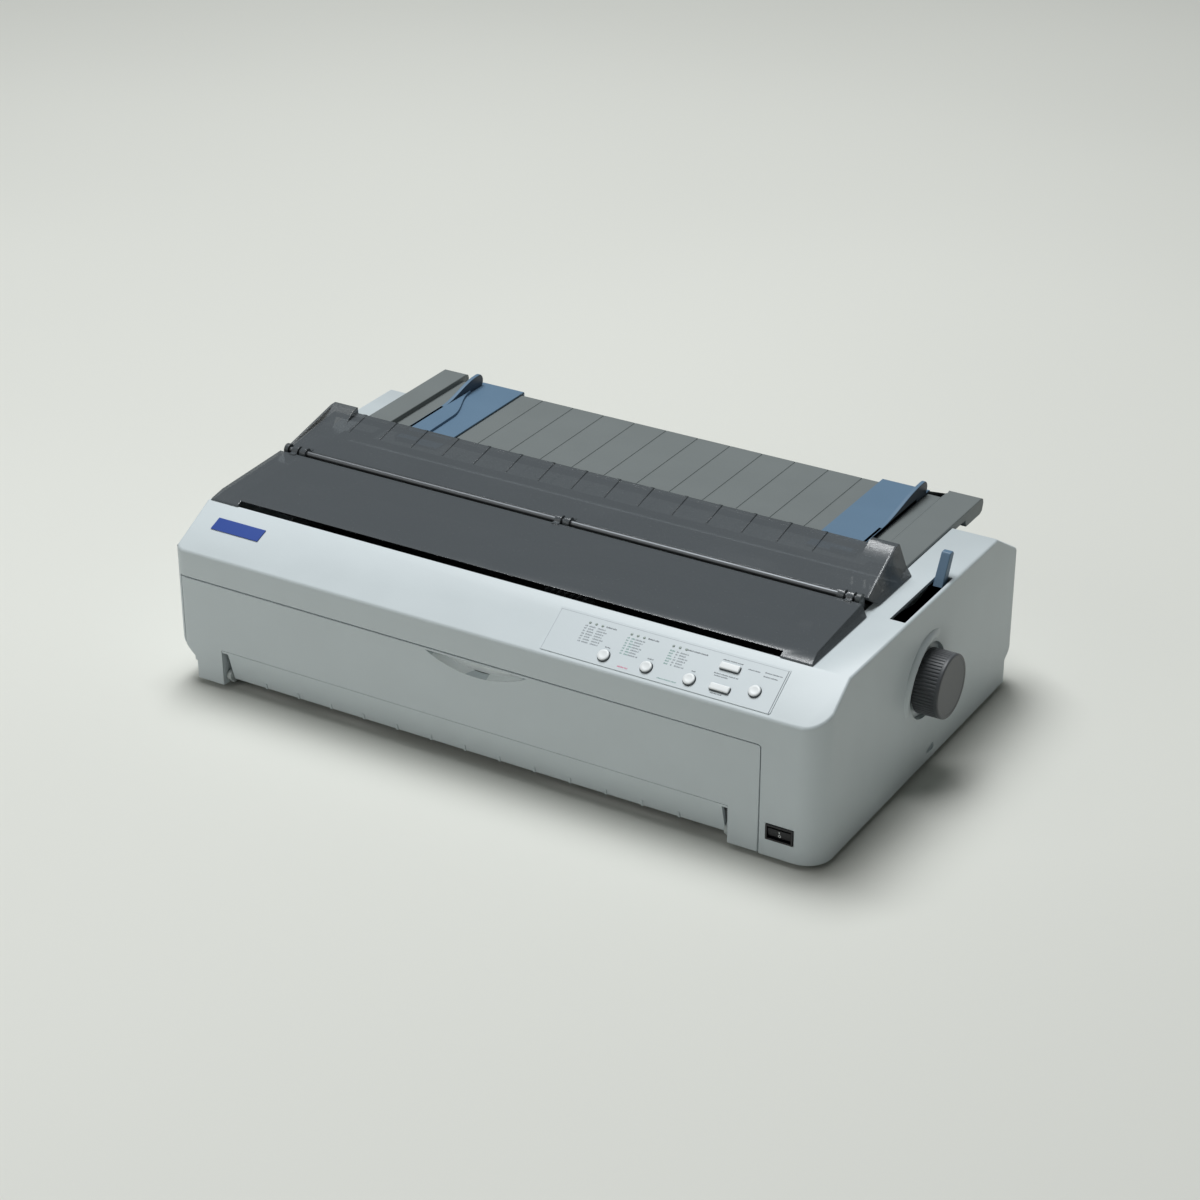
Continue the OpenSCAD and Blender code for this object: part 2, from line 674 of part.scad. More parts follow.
module grip_pocket() {
    arc_r = (grip_w * grip_w / 4 + grip_h * grip_h) / (2 * grip_h);
    intersection() {
        along_y(-1, door_t + 6.5) translate([grip_x, door_top - 2.5 - grip_h + arc_r]) circle(r = arc_r,
            $fn = 96);
        block([grip_x - grip_w / 2, -1, door_top - 2.5 - grip_h], [grip_x + grip_w / 2, door_t + 6.5,
            door_top - 2.5]);
    }
}

// ---- Covers ----

// The leaning sides that both covers are cut to; inset moves them inwards.
module cover_sides(inset) {
    along_y(-10, body_d) polygon([[cover_left_x + inset, 0], [cover_left_x + inset, cover_base_z],
        [cover_left_x + cover_lean + inset, rod_z], [cover_left_x + ridge_lean + inset, ridge_z + 1],
        [cover_right_x - ridge_lean - inset, ridge_z + 1],
        [cover_right_x - cover_lean - inset, rod_z], [cover_right_x - inset, cover_base_z],
        [cover_right_x - inset, 0]]);
}
module cover_knuckle(x, side) {
    union() {
        bar_x(x, x + knuckle_w, [rod_y, rod_z], knuckle_r);
        if (side < 0) block([x, rod_y - hinge_gap - 3, rod_z - 2.5], [x + knuckle_w, rod_y, rod_z + 1]);
        if (side > 0) block([x, rod_y, rod_z - 2.5], [x + knuckle_w, rod_y + hinge_gap + 3, rod_z + 1]);
    }
}
// The smoked printer cover: a low wedge from the sloping panel back to the rod.
module printer_cover() {
    back_y = rod_y - hinge_gap;
    knee_y = cover_front_y + 13;
    knee_z = body_h + cover_front_rise;
    color([0.35, 0.38, 0.4, 0.6]) placed() difference() {
        union() {
            intersection() {
                cover_sides(0);
                difference() {
                    along_x(cover_left_x - 1, cover_right_x + 1) polygon([[cover_front_y, cover_base_z],
                        [cover_front_y + 1.5, cover_base_z + 1.8], [knee_y, knee_z], [back_y, rod_z],
                        [back_y, cover_base_z]]);
                    intersection() {
                        cover_sides(cover_t);
                        along_x(cover_left_x - 1, cover_right_x + 1) polygon([
                            [cover_front_y + cover_t, cover_base_z - 1],
                            [cover_front_y + cover_t + 1.5, cover_base_z + 1.4],
                            [knee_y, knee_z - cover_t], [back_y + 1, rod_z - cover_t],
                            [back_y + 1, cover_base_z - 1]]);
                    }
                }
            }
            for (x = [left_lug_x + 8, -16, right_lug_x - 8]) cover_knuckle(x, -1);
            for (x = [cover_left_x + 40, cover_right_x - 48]) block([x, knee_y - 4, cover_base_z + 0.4],
                [x + 8, knee_y - 1, knee_z - 1.5]);
        }
        block([cover_left_x + cover_gap_end, cover_front_y - 1, cover_base_z - 1],
            [cover_right_x - cover_gap_end, knee_y - 5, cover_base_z + cover_gap_h]);
        bar_x(cover_left_x, cover_right_x, [rod_y, rod_z], rod_r + run_gap);
    }
}
// The ribbed sheet guide cover: rises from the rod to a ridge, with ears and end walls.
module sheet_guide_cover() {
    front_y = rod_y + hinge_gap;
    band_z = ridge_z - ear_rise;
    lip_h = 9;
    color([0.38, 0.4, 0.43, 0.7]) placed() difference() {
        union() {
            intersection() {
                cover_sides(0);
                union() {
                    along_x(cover_left_x - 1, cover_right_x + 1) polygon([[front_y, rod_z], [ridge_y - 1,
                        band_z],
                        [ridge_y + 1, band_z - 1], [ridge_y + 1, band_z - lip_h], [ridge_y - 1,
                            band_z - lip_h],
                        [ridge_y - 1.5, band_z - 3], [front_y, rod_z - cover_t]]);
                    for (x = [cover_left_x - 1, cover_right_x - ridge_lean - ear_w])
                        along_x(x, x + ear_w + ridge_lean + 1) polygon([[front_y + 40, rod_z + 6],
                            [ridge_y - 6, ridge_z],
                            [ridge_y, ridge_z], [ridge_y + 1, band_z - lip_h], [ridge_y - 1,
                                band_z - lip_h],
                            [ridge_y - 2, band_z - 3]]);
                    difference() {
                        end_walls();
                        cover_sides(cover_t);
                    }
                }
            }
            for (x = [left_lug_x + 16, -8, right_lug_x - 16]) cover_knuckle(x, 1);
            for (i = [0 : rib_count - 1]) band_rib((cover_left_x + cover_right_x) / 2 - 15.5
                + (i - (rib_count - 1) / 2) * rib_pitch);
        }
        bar_x(cover_left_x, cover_right_x, [rod_y, rod_z], rod_r + run_gap);
    }
}
module end_walls() {
    front_y = rod_y + hinge_gap;
    along_x(cover_left_x - 1, cover_right_x + 1) polygon([[front_y, rod_z], [ridge_y - 6, ridge_z],
        [ridge_y, ridge_z], [ridge_y + 5, cover_base_z], [front_y + 12, cover_base_z], [front_y,
            rod_z - cover_t]]);
}
module band_rib(x) {
    band_z = ridge_z - ear_rise;
    rise = (band_z - rod_z) / (ridge_y - 1 - rod_y - hinge_gap);
    along_x(x, x + 1.4) polygon([[ridge_y - 30, band_z - 29 * rise - 0.5], [ridge_y - 28,
        band_z - 27 * rise + 0.9],
        [ridge_y - 2, band_z + 0.9], [ridge_y + 1.6, band_z - 1.5], [ridge_y, band_z - 1.5]]);
}
// The steel rod that both covers turn on.
module cover_hinge_rod() {
    color("lightsteelblue") placed() bar_x(rod_x0 - 0.5, rod_x1 + 0.4, [rod_y, rod_z], rod_r);
}

// ---- Sheet guide ----

// The sheet guide: a grooved bed between two raised rims, on pivot pins at its front.
module sheet_guide() {
    bed_x0 = tray_x0 + tray_left_rim_w;
    bed_x1 = tray_x1 - tray_right_rim_w;
    bed_rear_y = tray_rear_y - 9;
    flange_z = body_h - 11.5;
    color("dimgray") placed() difference() {
        union() {
            block([tray_x0, tray_front_y, tray_bed_z - tray_t], [tray_x1, bed_rear_y, tray_bed_z]);
            along_x(tray_x0, bed_x0) rim_outline(flange_z);
            along_x(bed_x1, tray_x1) rim_outline(flange_z);
            along_y(tray_front_y, bed_rear_y) polygon([[bed_x1 - 5, tray_bed_z - 1], [bed_x1 - 5,
                tray_bed_z],
                [bed_x1, tray_rim_z], [bed_x1 + 1, tray_rim_z], [bed_x1 + 1, tray_bed_z - 1]]);
            along_x(bed_x0 - 1, bed_x1 + 1) polygon([[bed_rear_y - 1, tray_bed_z], [bed_rear_y + 1.5,
                tray_bed_z - 1],
                [bed_rear_y + 1.5, tray_bed_z - 6], [bed_rear_y - 1, tray_bed_z - 6]]);
            for (x = [bed_x0 + 40, bed_x1 - 46]) block([x, deck_y + 20, deck_z + part_gap],
                [x + 3, body_d - rear_slope_d, tray_bed_z - 1]);
            bar_x(tray_x0 - 3.2, tray_x0 + 6, [tray_pivot_y, tray_pivot_z], tray_pin_r);
            bar_x(tray_x1 - 6, tray_x1 + 3.2, [tray_pivot_y, tray_pivot_z], tray_pin_r);
            for (x = [tray_x0, tray_x1 - 6]) block([x, tray_pivot_y - 2, tray_pivot_z - 1], [x + 6,
                tray_pivot_y + 4,
                tray_bed_z]);
        }
        for (i = [0 : groove_count - 1]) along_y(tray_front_y - 1, bed_rear_y + 3)
            translate([(bed_x0 + bed_x1) / 2 + 4 + (i - (groove_count - 1) / 2) * rib_pitch, tray_bed_z])
            polygon([[-0.7, 0.5], [0.7, 0.5], [0.7, -0.6], [-0.7, -0.6]]);
    }
}
module rim_outline(flange_z) {
    polygon([[tray_front_y, tray_bed_z - tray_t], [tray_front_y, tray_rim_z], [tray_rear_y - 4, tray_rim_z],
        [tray_rear_y - 1, tray_rim_z - 1.5], [tray_rear_y, tray_rim_z - 5], [tray_rear_y - 2, flange_z + 2],
        [tray_rear_y - 6, flange_z], [body_d - 20, flange_z], [body_d - 22, tray_bed_z - tray_t]]);
}
// An edge guide: a base plate with a low step and a fence that sweeps up to a rounded tab.
// side is 1 with the fence at its left edge and -1 with it at its right edge.
module edge_guide(x, side) {
    bed_gap = 0.3;
    y0 = tray_pivot_y + 4;
    y1 = tray_rear_y - 5.5;
    base_z = tray_bed_z + bed_gap;
    tab_r = guide_tab_h / 2;
    run = y1 - tab_r - 2 - y0;
    translate([x, 0, 0]) mirror([side < 0 ? 1 : 0, 0, 0]) union() {
        block([0, y0, base_z], [guide_w, y1, base_z + 1.8]);
        along_x(0, guide_w) polygon([[y1 - 1, base_z + 1.8], [y1 + 1, base_z + 0.8], [y1 + 1,
            tray_bed_z - 5],
            [y1 - 1.5, tray_bed_z - 5], [y1 - 1.5, base_z]]);
        translate([0, 0, base_z]) linear_extrude(3.6) polygon([[0, y0], [guide_w * 0.48, y0],
            [guide_w * 0.46, y0 + 0.64 * run], [guide_w * 0.4, y0 + 0.74 * run], [guide_w * 0.2,
                y0 + 0.83 * run],
            [0, y0 + 0.87 * run]]);
        along_x(0, guide_fence_t) union() {
            polygon([[y0, base_z], [y0, base_z + 3.6], [y0 + 0.5 * run, base_z + 4], [y0 + 0.62 * run,
                base_z + 6],
                [y0 + 0.73 * run, base_z + 10], [y0 + 0.82 * run, base_z + guide_tab_h - 1.4],
                [y0 + run, base_z + guide_tab_h], [y0 + run, base_z]]);
            translate([y1 - tab_r - 2, base_z + guide_tab_h - tab_r]) circle(tab_r);
            translate([y1 - tab_r - 2, base_z]) square([tab_r, guide_tab_h - tab_r]);
        }
    }
}
module edge_guide_left() {
    color("steelblue") placed() edge_guide(tray_x0 + tray_left_rim_w + left_guide_gap, 1);
}
module edge_guide_right() {
    color("steelblue") placed() edge_guide(tray_x1 - tray_right_rim_w - right_guide_gap, -1);
}

// ---- Control panel, switch, knob and lever ----

// The thin overlay on the sloping panel.
module control_panel() {
    color("whitesmoke") placed() difference() {
        on_slope(panel_x0, panel_s) soft_slab(panel_w, panel_l, panel_t, 1.5);
        panel_cuts();
    }
}
// Each button: a cap through the panel and a collar behind it that holds it in.
module button_cap(r) {
    collar_z = -wall - 0.3;
    union() {
        translate([0, 0, collar_z - 0.01]) cylinder(r = r, h = button_out - collar_z - 0.6);
        translate([0, 0, button_out - 0.62]) cylinder(r = r - 0.3, h = 0.62);
        translate([0, 0, collar_z - 1.6]) cylinder(r = r + 1.5, h = 1.6);
    }
}
module round_button(i) {
    color("white") placed() on_slope(round_buttons[i][0], round_buttons[i][1]) button_cap(button_r);
}
module round_button_1() { round_button(0); }
module round_button_2() { round_button(1); }
module round_button_3() { round_button(2); }
module round_button_4() { round_button(3); }
module bar_button(i) {
    w = bar_button_w;
    collar_z = -wall - 0.3;
    color("white") placed() on_slope(bar_buttons[i][0] - bar_button_l / 2, bar_buttons[i][1] - w / 2)
        union() {
        translate([0, 0, collar_z - 0.01]) soft_slab(bar_button_l, w, button_out - collar_z, 2);
        translate([-1.2, -1.2, collar_z - 1.6]) soft_slab(bar_button_l + 2.4, w + 2.4, 1.6, 2);
    }
}
module bar_button_1() { bar_button(0); }
module bar_button_2() { bar_button(1); }
// The row of light pipes, three in each group.
module indicator_lights() {
    color("palegreen") placed() for (x = light_x) on_slope(x, light_s) translate([0, 0, -wall - 3.2])
        cylinder(r = light_r - 0.1, h = wall + panel_t + 3.5);
}
// The circuit board behind the buttons, carrying the light pipes.
module panel_board() {
    color("seagreen") placed() on_slope(panel_x0 + 16, 6) translate([0, 0, -wall - 4.8]) union() {
        cube([panel_w - 24, 33, 1.6]);
        for (x = [20, panel_w - 60]) translate([x, 17, 1.5]) cylinder(r = 2, h = 3.3);
    }
}
// The bare name plate.
module name_plate() {
    color("royalblue") placed() on_slope(left_x + 22, 26.2)
        linear_extrude(0.8) polygon([[0, 0], [badge_w, 0], [badge_w + 2, badge_l], [2, badge_l]]);
}
// The power switch: a frame with a rocker on a pin.
module switch_bezel() {
    z0 = switch_z - switch_h / 2;
    frame_t = 1.5;
    x0 = switch_x0 + 0.3;
    x1 = switch_x1 - 0.3;
    color("black") placed() difference() {
        union() {
            block([x0, -switch_out, z0 + 0.3], [x1, switch_depth, z0 + switch_h - 0.3]);
            bar_x(x0 + 0.7, x1 - 0.7, [switch_pin_y, switch_z], switch_pin_r);
        }
        difference() {
            block([x0 + frame_t, -1, z0 + 0.3 + frame_t], [x1 - frame_t, switch_depth - 1,
                z0 + switch_h - 0.3 - frame_t]);
            bar_x(x0 + 0.7, x1 - 0.7, [switch_pin_y, switch_z], switch_pin_r);
        }
    }
}
module switch_rocker() {
    half = switch_h / 2 - 3.2;
    color("black") placed() difference() {
        along_x(switch_x0 + 2.2, switch_x1 - 2.2)
            polygon([[0.9, switch_z - half], [-0.5, switch_z + half - 0.6], [0.4, switch_z + half],
                [8, switch_z + half - 2], [8, switch_z - half + 2], [2.6, switch_z - half]]);
        bar_x(switch_x0, switch_x1, [switch_pin_y, switch_z], switch_pin_r + run_gap);
    }
}
// The ribbed paper feed knob on the right side.
module paper_feed_knob() {
    notch_count = 48;
    color("gray") placed() difference() {
        union() {
            bar_x(knob_x0, knob_x1 - 1.5, platen_c, knob_r);
            bar_x(knob_x1 - 1.6, knob_x1, platen_c, knob_r - 1.5);
        }
        for (i = [0 : notch_count - 1]) translate([0, feed_y, feed_z]) rotate([i * 360 / notch_count, 0, 0])
            block([knob_x0 + 2, knob_r - 0.9, -0.6], [knob_x1 - 2.5, knob_r + 1, 0.6]);
        bar_x(knob_x0 - 1, knob_x1 - 4, platen_c, shaft_r);
    }
}
// The paper release lever: a hub, a short lower arm and a leaning upper arm.
module release_lever() {
    elbow = lever_c + [24, 24];
    tip_y = lever_c[0] + 45;
    tip_z = body_h + 21.5;
    color("steelblue") placed() difference() {
        union() {
            bar_x(lever_x0, lever_x0 + lever_w, lever_c, lever_hub_r);
            along_x(lever_x0, lever_x0 + lever_w) polygon([lever_c + [-4, 6], lever_c + [6, -4],
                elbow + [4.5, -2], elbow + [4, 2], elbow + [-4, 4]]);
            along_x(lever_x0, lever_x0 + lever_w) polygon([elbow + [-5, 1], elbow + [4, -2],
                elbow + [5.5, 0],
                [tip_y + 4, tip_z - 2], [tip_y + 2.5, tip_z], [tip_y - 2.5, tip_z], [tip_y - 4,
                    tip_z - 2]]);
        }
        bar_x(lever_x0 - 1, lever_x0 + lever_w + 1, lever_c, lever_pin_r + run_gap);
    }
}

// ---- Paper feed ----

module platen_roller() {
    color("darkslategray") placed() difference() {
        bar_x(platen_x0, roller_end_x, platen_c, platen_r);
        bar_x(platen_x0 - 1, roller_end_x + 1, platen_c, shaft_r);
    }
}
module platen_shaft() {
    color("silver") placed() bar_x(frame_x0 - 6, knob_x1 - 4, platen_c, shaft_r);
}
module platen_gear() {
    color("ivory") placed() gear(platen_teeth, 0, platen_c, gear_x0 + part_gap, shaft_r);
}
module idler_gear_1() {
    color("ivory") placed() gear(idler_teeth, idler_1_turn, idler_1_c, gear_x0 + part_gap,
        idler_pin_r + run_gap);
}
module idler_gear_2() {
    color("ivory") placed() gear(idler_teeth, idler_2_turn, idler_2_c, gear_x0 + part_gap,
        idler_pin_r + run_gap);
}
module tractor_gear() {
    color("ivory") placed() gear(tractor_teeth, tractor_turn, tractor_c, gear_x0 + part_gap,
        tractor_shaft_r);
}
module feed_pinion() {
    color("ivory") placed() union() {
        gear(pinion_teeth, pinion_turn, pinion_c, gear_x0 + part_gap, pulley_shaft_r - 0.5);
        bar_x(frame_x1 - frame_t - 8, gear_x0 + gear_w, pinion_c, pulley_shaft_r);
    }
}
module feed_motor() {
    x1 = frame_x1 - frame_t;
    color("dimgray") placed() difference() {
        bar_x(x1 - feed_motor_len, x1, pinion_c, motor_r);
        bar_x(x1 - 12, x1 + 1, pinion_c, pulley_shaft_r + run_gap);
    }
}

// ---- Frame and carriage ----

// A frame plate with bores for the shafts; x is its outer face.
module frame_plate(x0) {
    x1 = x0 + frame_t;
    difference() {
        along_x(x0, x1) polygon([[frame_front_y + 6, floor_z], [frame_rear_y, floor_z], [frame_rear_y,
            feed_z - 22],
            [frame_rear_y - 23, feed_z + 30], [cartridge_y1 - 2, frame_top_z], [cartridge_y0 + 2,
                frame_top_z],
            [frame_front_y + 50, feed_z + 2], [frame_front_y, feed_z + 2], [frame_front_y, case_wall_h - 5],
            [frame_front_y + 6, case_wall_h - 5]]);
        bar_x(x0 - 1, x1 + 1, platen_c, shaft_r + run_gap);
        bar_x(x0 - 1, x1 + 1, tractor_c, tractor_shaft_r + run_gap);
        bar_x(x0 - 1, x1 + 1, support_shaft_c, tractor_shaft_r);
        bar_x(x0 - 1, x1 + 1, [carriage_rod_y, carriage_rod_z], guide_rod_r);
    }
}
module frame_left() {
    color("lightslategray") placed() frame_plate(frame_x0);
}
module frame_right() {
    color("lightslategray") placed() difference() {
        union() {
            frame_plate(frame_x1 - frame_t);
            for (c = [idler_1_c, idler_2_c]) {
                bar_x(frame_x1 - 1, gear_x0 + part_gap + gear_w + 1, c, idler_pin_r);
                bar_x(frame_x1 - 1, gear_x0, c, idler_pin_r + 3);
            }
        }
        bar_x(frame_x1 - frame_t - 1, frame_x1 + 1, pinion_c, pulley_shaft_r + 1);
    }
}
module carriage_rod() {
    color("silver") placed() bar_x(frame_x0 - 1, frame_x1 + 1, [carriage_rod_y, carriage_rod_z],
        guide_rod_r);
}
// The rail that the carriage's foot rides on.
module carriage_rail() {
    y1 = belt_y - pulley_r - 2;
    z1 = carriage_rod_z - 13;
    color("lightslategray") placed() union() {
        block([frame_x0 + frame_t, y1 - 18, z1 - 2], [frame_x1 - frame_t, y1, z1]);
        block([frame_x0 + frame_t, y1 - 18, z1 - 12], [frame_x1 - frame_t, y1 - 16, z1]);
    }
}
module carriage() {
    y = carriage_rod_y;
    z = carriage_rod_z;
    w = carriage_w / 2;
    color("gray") placed() difference() {
        union() {
            block([-w, y - 17, z - 12], [w, y + 23, z + 12]);
            block([-w + 6, y - 33, z - 12.7], [w - 6, y - 16, z - 8]);
            block([-10, belt_y - 9.2, belt_z + belt_h + 0.3], [10, belt_y - 5, z - 11]);
        }
        bar_x(-w - 1, w + 1, [y, z], guide_rod_r + run_gap);
    }
}
// The print head: a finned block and a nose that points at the platen.
module print_head() {
    y0 = carriage_rod_y + 23;
    color("slategray") placed() union() {
        block([-17, y0, feed_z - 19], [17, y0 + 16, feed_z + 17]);
        for (i = [0 : 6]) block([-20 + i * 6.2, y0, feed_z - 21], [-17.4 + i * 6.2, y0 + 14, feed_z + 21]);
        bar_y(y0 + 15, head_tip_y - 5, 0, feed_z, 9);
        bar_y(head_tip_y - 6, head_tip_y, 0, feed_z, 5);
    }
}
// The long ribbon cartridge with its two arms and the strip of ribbon between them.
module ribbon_cartridge() {
    arm_w = 12;
    arm_left_x = platen_x0 - arm_w - 4;
    arm_right_x = roller_end_x + 2;
    ribbon_y = head_tip_y + 0.4;
    color("darkslategray") placed() difference() {
        union() {
            block([frame_x0 - 12, cartridge_y0, frame_top_z], [cartridge_x1, cartridge_y1,
                frame_top_z + cartridge_h]);
            block([cartridge_x1 - 1, cartridge_y0 + 8, frame_top_z], [frame_x1 + 2, cartridge_y1 - 8,
                frame_top_z + 4]);
            for (x = [arm_left_x, arm_right_x]) along_x(x, x + arm_w) polygon([[cartridge_y0 + 26,
                frame_top_z + 1],
                [cartridge_y0 + 34, feed_z - 8], [ribbon_y + 1, feed_z - 8], [ribbon_y + 1, feed_z + 8],
                [cartridge_y1, frame_top_z + 10]]);
            block([arm_left_x + 2, ribbon_y, feed_z - 6], [arm_right_x + arm_w - 2, ribbon_y + 0.3,
                feed_z + 6]);
            for (x = [frame_x0 + 20 : cartridge_rib_pitch : cartridge_x1 - 20])
                block([x, cartridge_y0 + 3, frame_top_z + cartridge_h - 0.5],
                    [x + 2, cartridge_y1 - 3, frame_top_z + cartridge_h + 0.8]);
        }
        translate([frame_x0 + 4, cartridge_y0 + 20, frame_top_z - 1]) cylinder(r = 3 + run_gap, h = 30);
    }
}
module ribbon_knob() {
    z0 = frame_top_z + cartridge_h;
    color("lightgray") placed() translate([frame_x0 + 4, cartridge_y0 + 20, 0]) union() {
        translate([0, 0, frame_top_z + 3]) cylinder(r = 3, h = cartridge_h);
        translate([0, 0, z0 + 0.3]) cylinder(r = 7, h = 5);
        translate([-6, -1.2, z0 + 5]) cube([12, 2.4, 2.6]);
    }
}
module stadium(r) {
    union() {
        for (x = [idle_x, drive_x]) translate([x, belt_y]) circle(r);
        translate([idle_x, belt_y - r]) square([drive_x - idle_x, 2 * r]);
    }
}
module timing_belt() {
    color("dimgray") placed() translate([0, 0, belt_z]) linear_extrude(belt_h) difference() {
        stadium(pulley_r + 0.1 + belt_t);
        stadium(pulley_r + 0.1);
    }
}
module pulley(x, bore_r) {
    difference() {
        union() {
            translate([x, belt_y, belt_z - 0.2]) cylinder(r = pulley_r, h = belt_h + 0.4);
            translate([x, belt_y, belt_z - 1.2]) cylinder(r = pulley_r + 2, h = 0.9);
        }
        translate([x, belt_y, belt_z - 2]) cylinder(r = bore_r, h = belt_h + 4);
    }
}
module drive_pulley() {
    color("ivory") placed() union() {
        pulley(drive_x, pulley_shaft_r - 0.5);
        translate([drive_x, belt_y, belt_z - 14]) cylinder(r = pulley_shaft_r, h = belt_h + 14);
    }
}
module idle_pulley() {
    color("ivory") placed() pulley(idle_x, pulley_shaft_r + run_gap);
}
module carriage_motor() {
    h = belt_z - 2.2 - floor_z;
    color("dimgray") placed() translate([drive_x, belt_y, floor_z]) difference() {
        cylinder(r = motor_r, h = h);
        translate([0, 0, h - 12]) cylinder(r = pulley_shaft_r + run_gap, h = 14);
    }
}

// ---- Tractors ----

// A tractor block that slides on both shafts; side is 1 with its flap hinged at its left.
module tractor(x, side) {
    w = tractor_w;
    hinge_x = side > 0 ? x + 2.5 : x + w - 2.5;
    z1 = tractor_z1;
    difference() {
        union() {
            block([x, tractor_y0, tractor_z0], [x + w, tractor_y1, z1]);
            for (y = [tractor_y0, tractor_y1 - 5]) {
                block([hinge_x - 2.5, y, z1 - 1], [hinge_x + 2.5, y + 5, z1 + 2]);
                bar_y(y, y + 5, hinge_x, z1 + 2.5, 2.5);
            }
            bar_y(tractor_y0, tractor_y1, hinge_x, z1 + 2.5, 1.2);
            for (i = [0 : 2]) translate([x + w / 2, tractor_y0 + 8 + i * 12, z1 - 1]) cylinder(r = 1.8,
                h = 2.6);
        }
        bar_x(x - 1, x + w + 1, tractor_c, tractor_shaft_r + run_gap);
        bar_x(x - 1, x + w + 1, support_shaft_c, tractor_shaft_r + run_gap);
    }
}
module tractor_flap(x, side) {
    w = tractor_w;
    hinge_x = side > 0 ? x + 2.5 : x + w - 2.5;
    far_x = side > 0 ? x + w : x;
    y0 = tractor_y0 + 5.4;
    y1 = tractor_y1 - 5.4;
    z0 = tractor_z1 + 1.8;
    difference() {
        union() {
            block([min(hinge_x, far_x), y0, z0 + 0.2], [max(hinge_x, far_x), y1, z0 + flap_t - 0.6]);
            bar_y(y0, y1, hinge_x, tractor_z1 + 2.5, 2.2);
        }
        bar_y(y0 - 1, y1 + 1, hinge_x, tractor_z1 + 2.5, 1.2 + run_gap);
    }
}
module tractor_left() {
    color("slategray") placed() tractor(tractor_left_x, 1);
}
module tractor_right() {
    color("slategray") placed() tractor(tractor_right_x, -1);
}
module tractor_flap_left() {
    color("steelblue") placed() tractor_flap(tractor_left_x, 1);
}
module tractor_flap_right() {
    color("steelblue") placed() tractor_flap(tractor_right_x, -1);
}
module tractor_drive_shaft() {
    color("silver") placed() bar_x(frame_x0 - 2, gear_x0 + part_gap + gear_w, tractor_c, tractor_shaft_r);
}
module tractor_support_shaft() {
    color("silver") placed() bar_x(frame_x0 - 1, frame_x1 + 1, support_shaft_c, tractor_shaft_r);
}
// The plate that carries the paper between the tractors, on two ribs from the case floor.
module front_paper_guide() {
    x0 = tractor_left_x + tractor_w + paper_guide_left_room;
    x1 = tractor_right_x - paper_guide_right_room;
    rib_y = (support_shaft_c[0] + tractor_c[0]) / 2;
    color("dimgray") placed() union() {
        block([x0, tractor_y0 + 2, tractor_z1 - 3], [x1, tractor_y1 - 2, tractor_z1 - 1]);
        for (x = [x0 + 10, x1 - 13]) block([x, rib_y - 3, floor_z], [x + 3, rib_y + 3, tractor_z1 - 2]);
    }
}

// ---- Electronics ----

module main_board() {
    color("seagreen") placed() union() {
        block([main_board_x, board_y0, board_z], [main_board_x + main_board_w, board_y1,
            board_z + board_t]);
        for (i = [0 : 3]) block([main_board_x + 20 + i * 50, board_y0 + 22, board_z + board_t - 0.1],
            [main_board_x + 44 + i * 50, board_y0 + 44, board_z + board_t + 4]);
    }
}
module power_board() {
    color("darkgoldenrod") placed() union() {
        block([power_board_x, board_y0, board_z], [power_board_x + power_board_w, board_y1,
            board_z + board_t]);
        for (i = [0 : 2]) translate([power_board_x + 20 + i * 24, board_y0 + 18, board_z + board_t - 0.1])
            cylinder(r = 9, h = 24);
        block([power_board_x + 96, board_y0 + 6, board_z + board_t - 0.1],
            [power_board_x + 100, board_y1 - 6, board_z + 34]);
    }
}
module transformer() {
    x = power_board_x + power_board_w - 66;
    z = board_z + board_t;
    color("peru") placed() union() {
        block([x, board_y0 + 8, z], [x + 46, board_y0 + 14, z + 36]);
        block([x, board_y0 + 46, z], [x + 46, board_y0 + 52, z + 36]);
        block([x + 6, board_y0 + 13, z + 4], [x + 40, board_y0 + 47, z + 32]);
    }
}
module fan_frame() {
    y1 = body_d - wall;
    ring_r = fan_half - 2;
    color("dimgray") placed() difference() {
        block([fan_x - fan_half, y1 - 15, fan_z - fan_half], [fan_x + fan_half, y1, fan_z + fan_half]);
        bar_y(y1 - 16, y1 - 1.5, fan_x, fan_z, ring_r);
        difference() {
            bar_y(y1 - 2, y1 + 1, fan_x, fan_z, ring_r);
            bar_y(y1 - 2, y1 + 1, fan_x, fan_z, 10);
            for (a = [45, 135]) translate([fan_x, y1 - 2, fan_z]) rotate([0, a, 0])
                translate([-fan_half, 0, -2]) cube([2 * fan_half, 3, 4]);
        }
        bar_y(y1 - 3, y1 + 1, fan_x, fan_z, 2 + run_gap);
    }
}
module fan_rotor() {
    y1 = body_d - wall - 2;
    blade_count = 7;
    color("black") placed() union() {
        bar_y(y1 - 11, y1, fan_x, fan_z, 10);
        bar_y(y1 - 1, y1 + 2, fan_x, fan_z, 2);
        for (i = [0 : blade_count - 1]) translate([fan_x, y1 - 5.5, fan_z])
            rotate([0, i * 360 / blade_count, 0]) rotate([35, 0, 0])
            translate([8, -0.8, -6]) cube([fan_half - 11.5, 1.6, 12]);
    }
}
module mains_inlet() {
    x = port_x[3];
    y1 = body_d;
    color("black") placed() difference() {
        union() {
            block([x - 14.7, y1 - 20, port_z - 11.7], [x + 14.7, y1 + 0.6, port_z + 11.7]);
            block([x - 18, y1 - 6, port_z - 15], [x + 18, y1 - wall, port_z + 15]);
        }
        block([x - 12, y1 - 16, port_z - 8.5], [x + 12, y1 + 1, port_z + 8.5]);
    }
}
module parallel_port() {
    x = port_x[0];
    y1 = body_d;
    color("silver") placed() union() {
        block([x - 34, y1 - wall - 5, port_z - 12], [x + 34, y1 - wall, port_z + 12]);
        block([x - 28, y1 - wall - 1, port_z - 6], [x + 28, y1 + 0.5, port_z + 6]);
    }
}
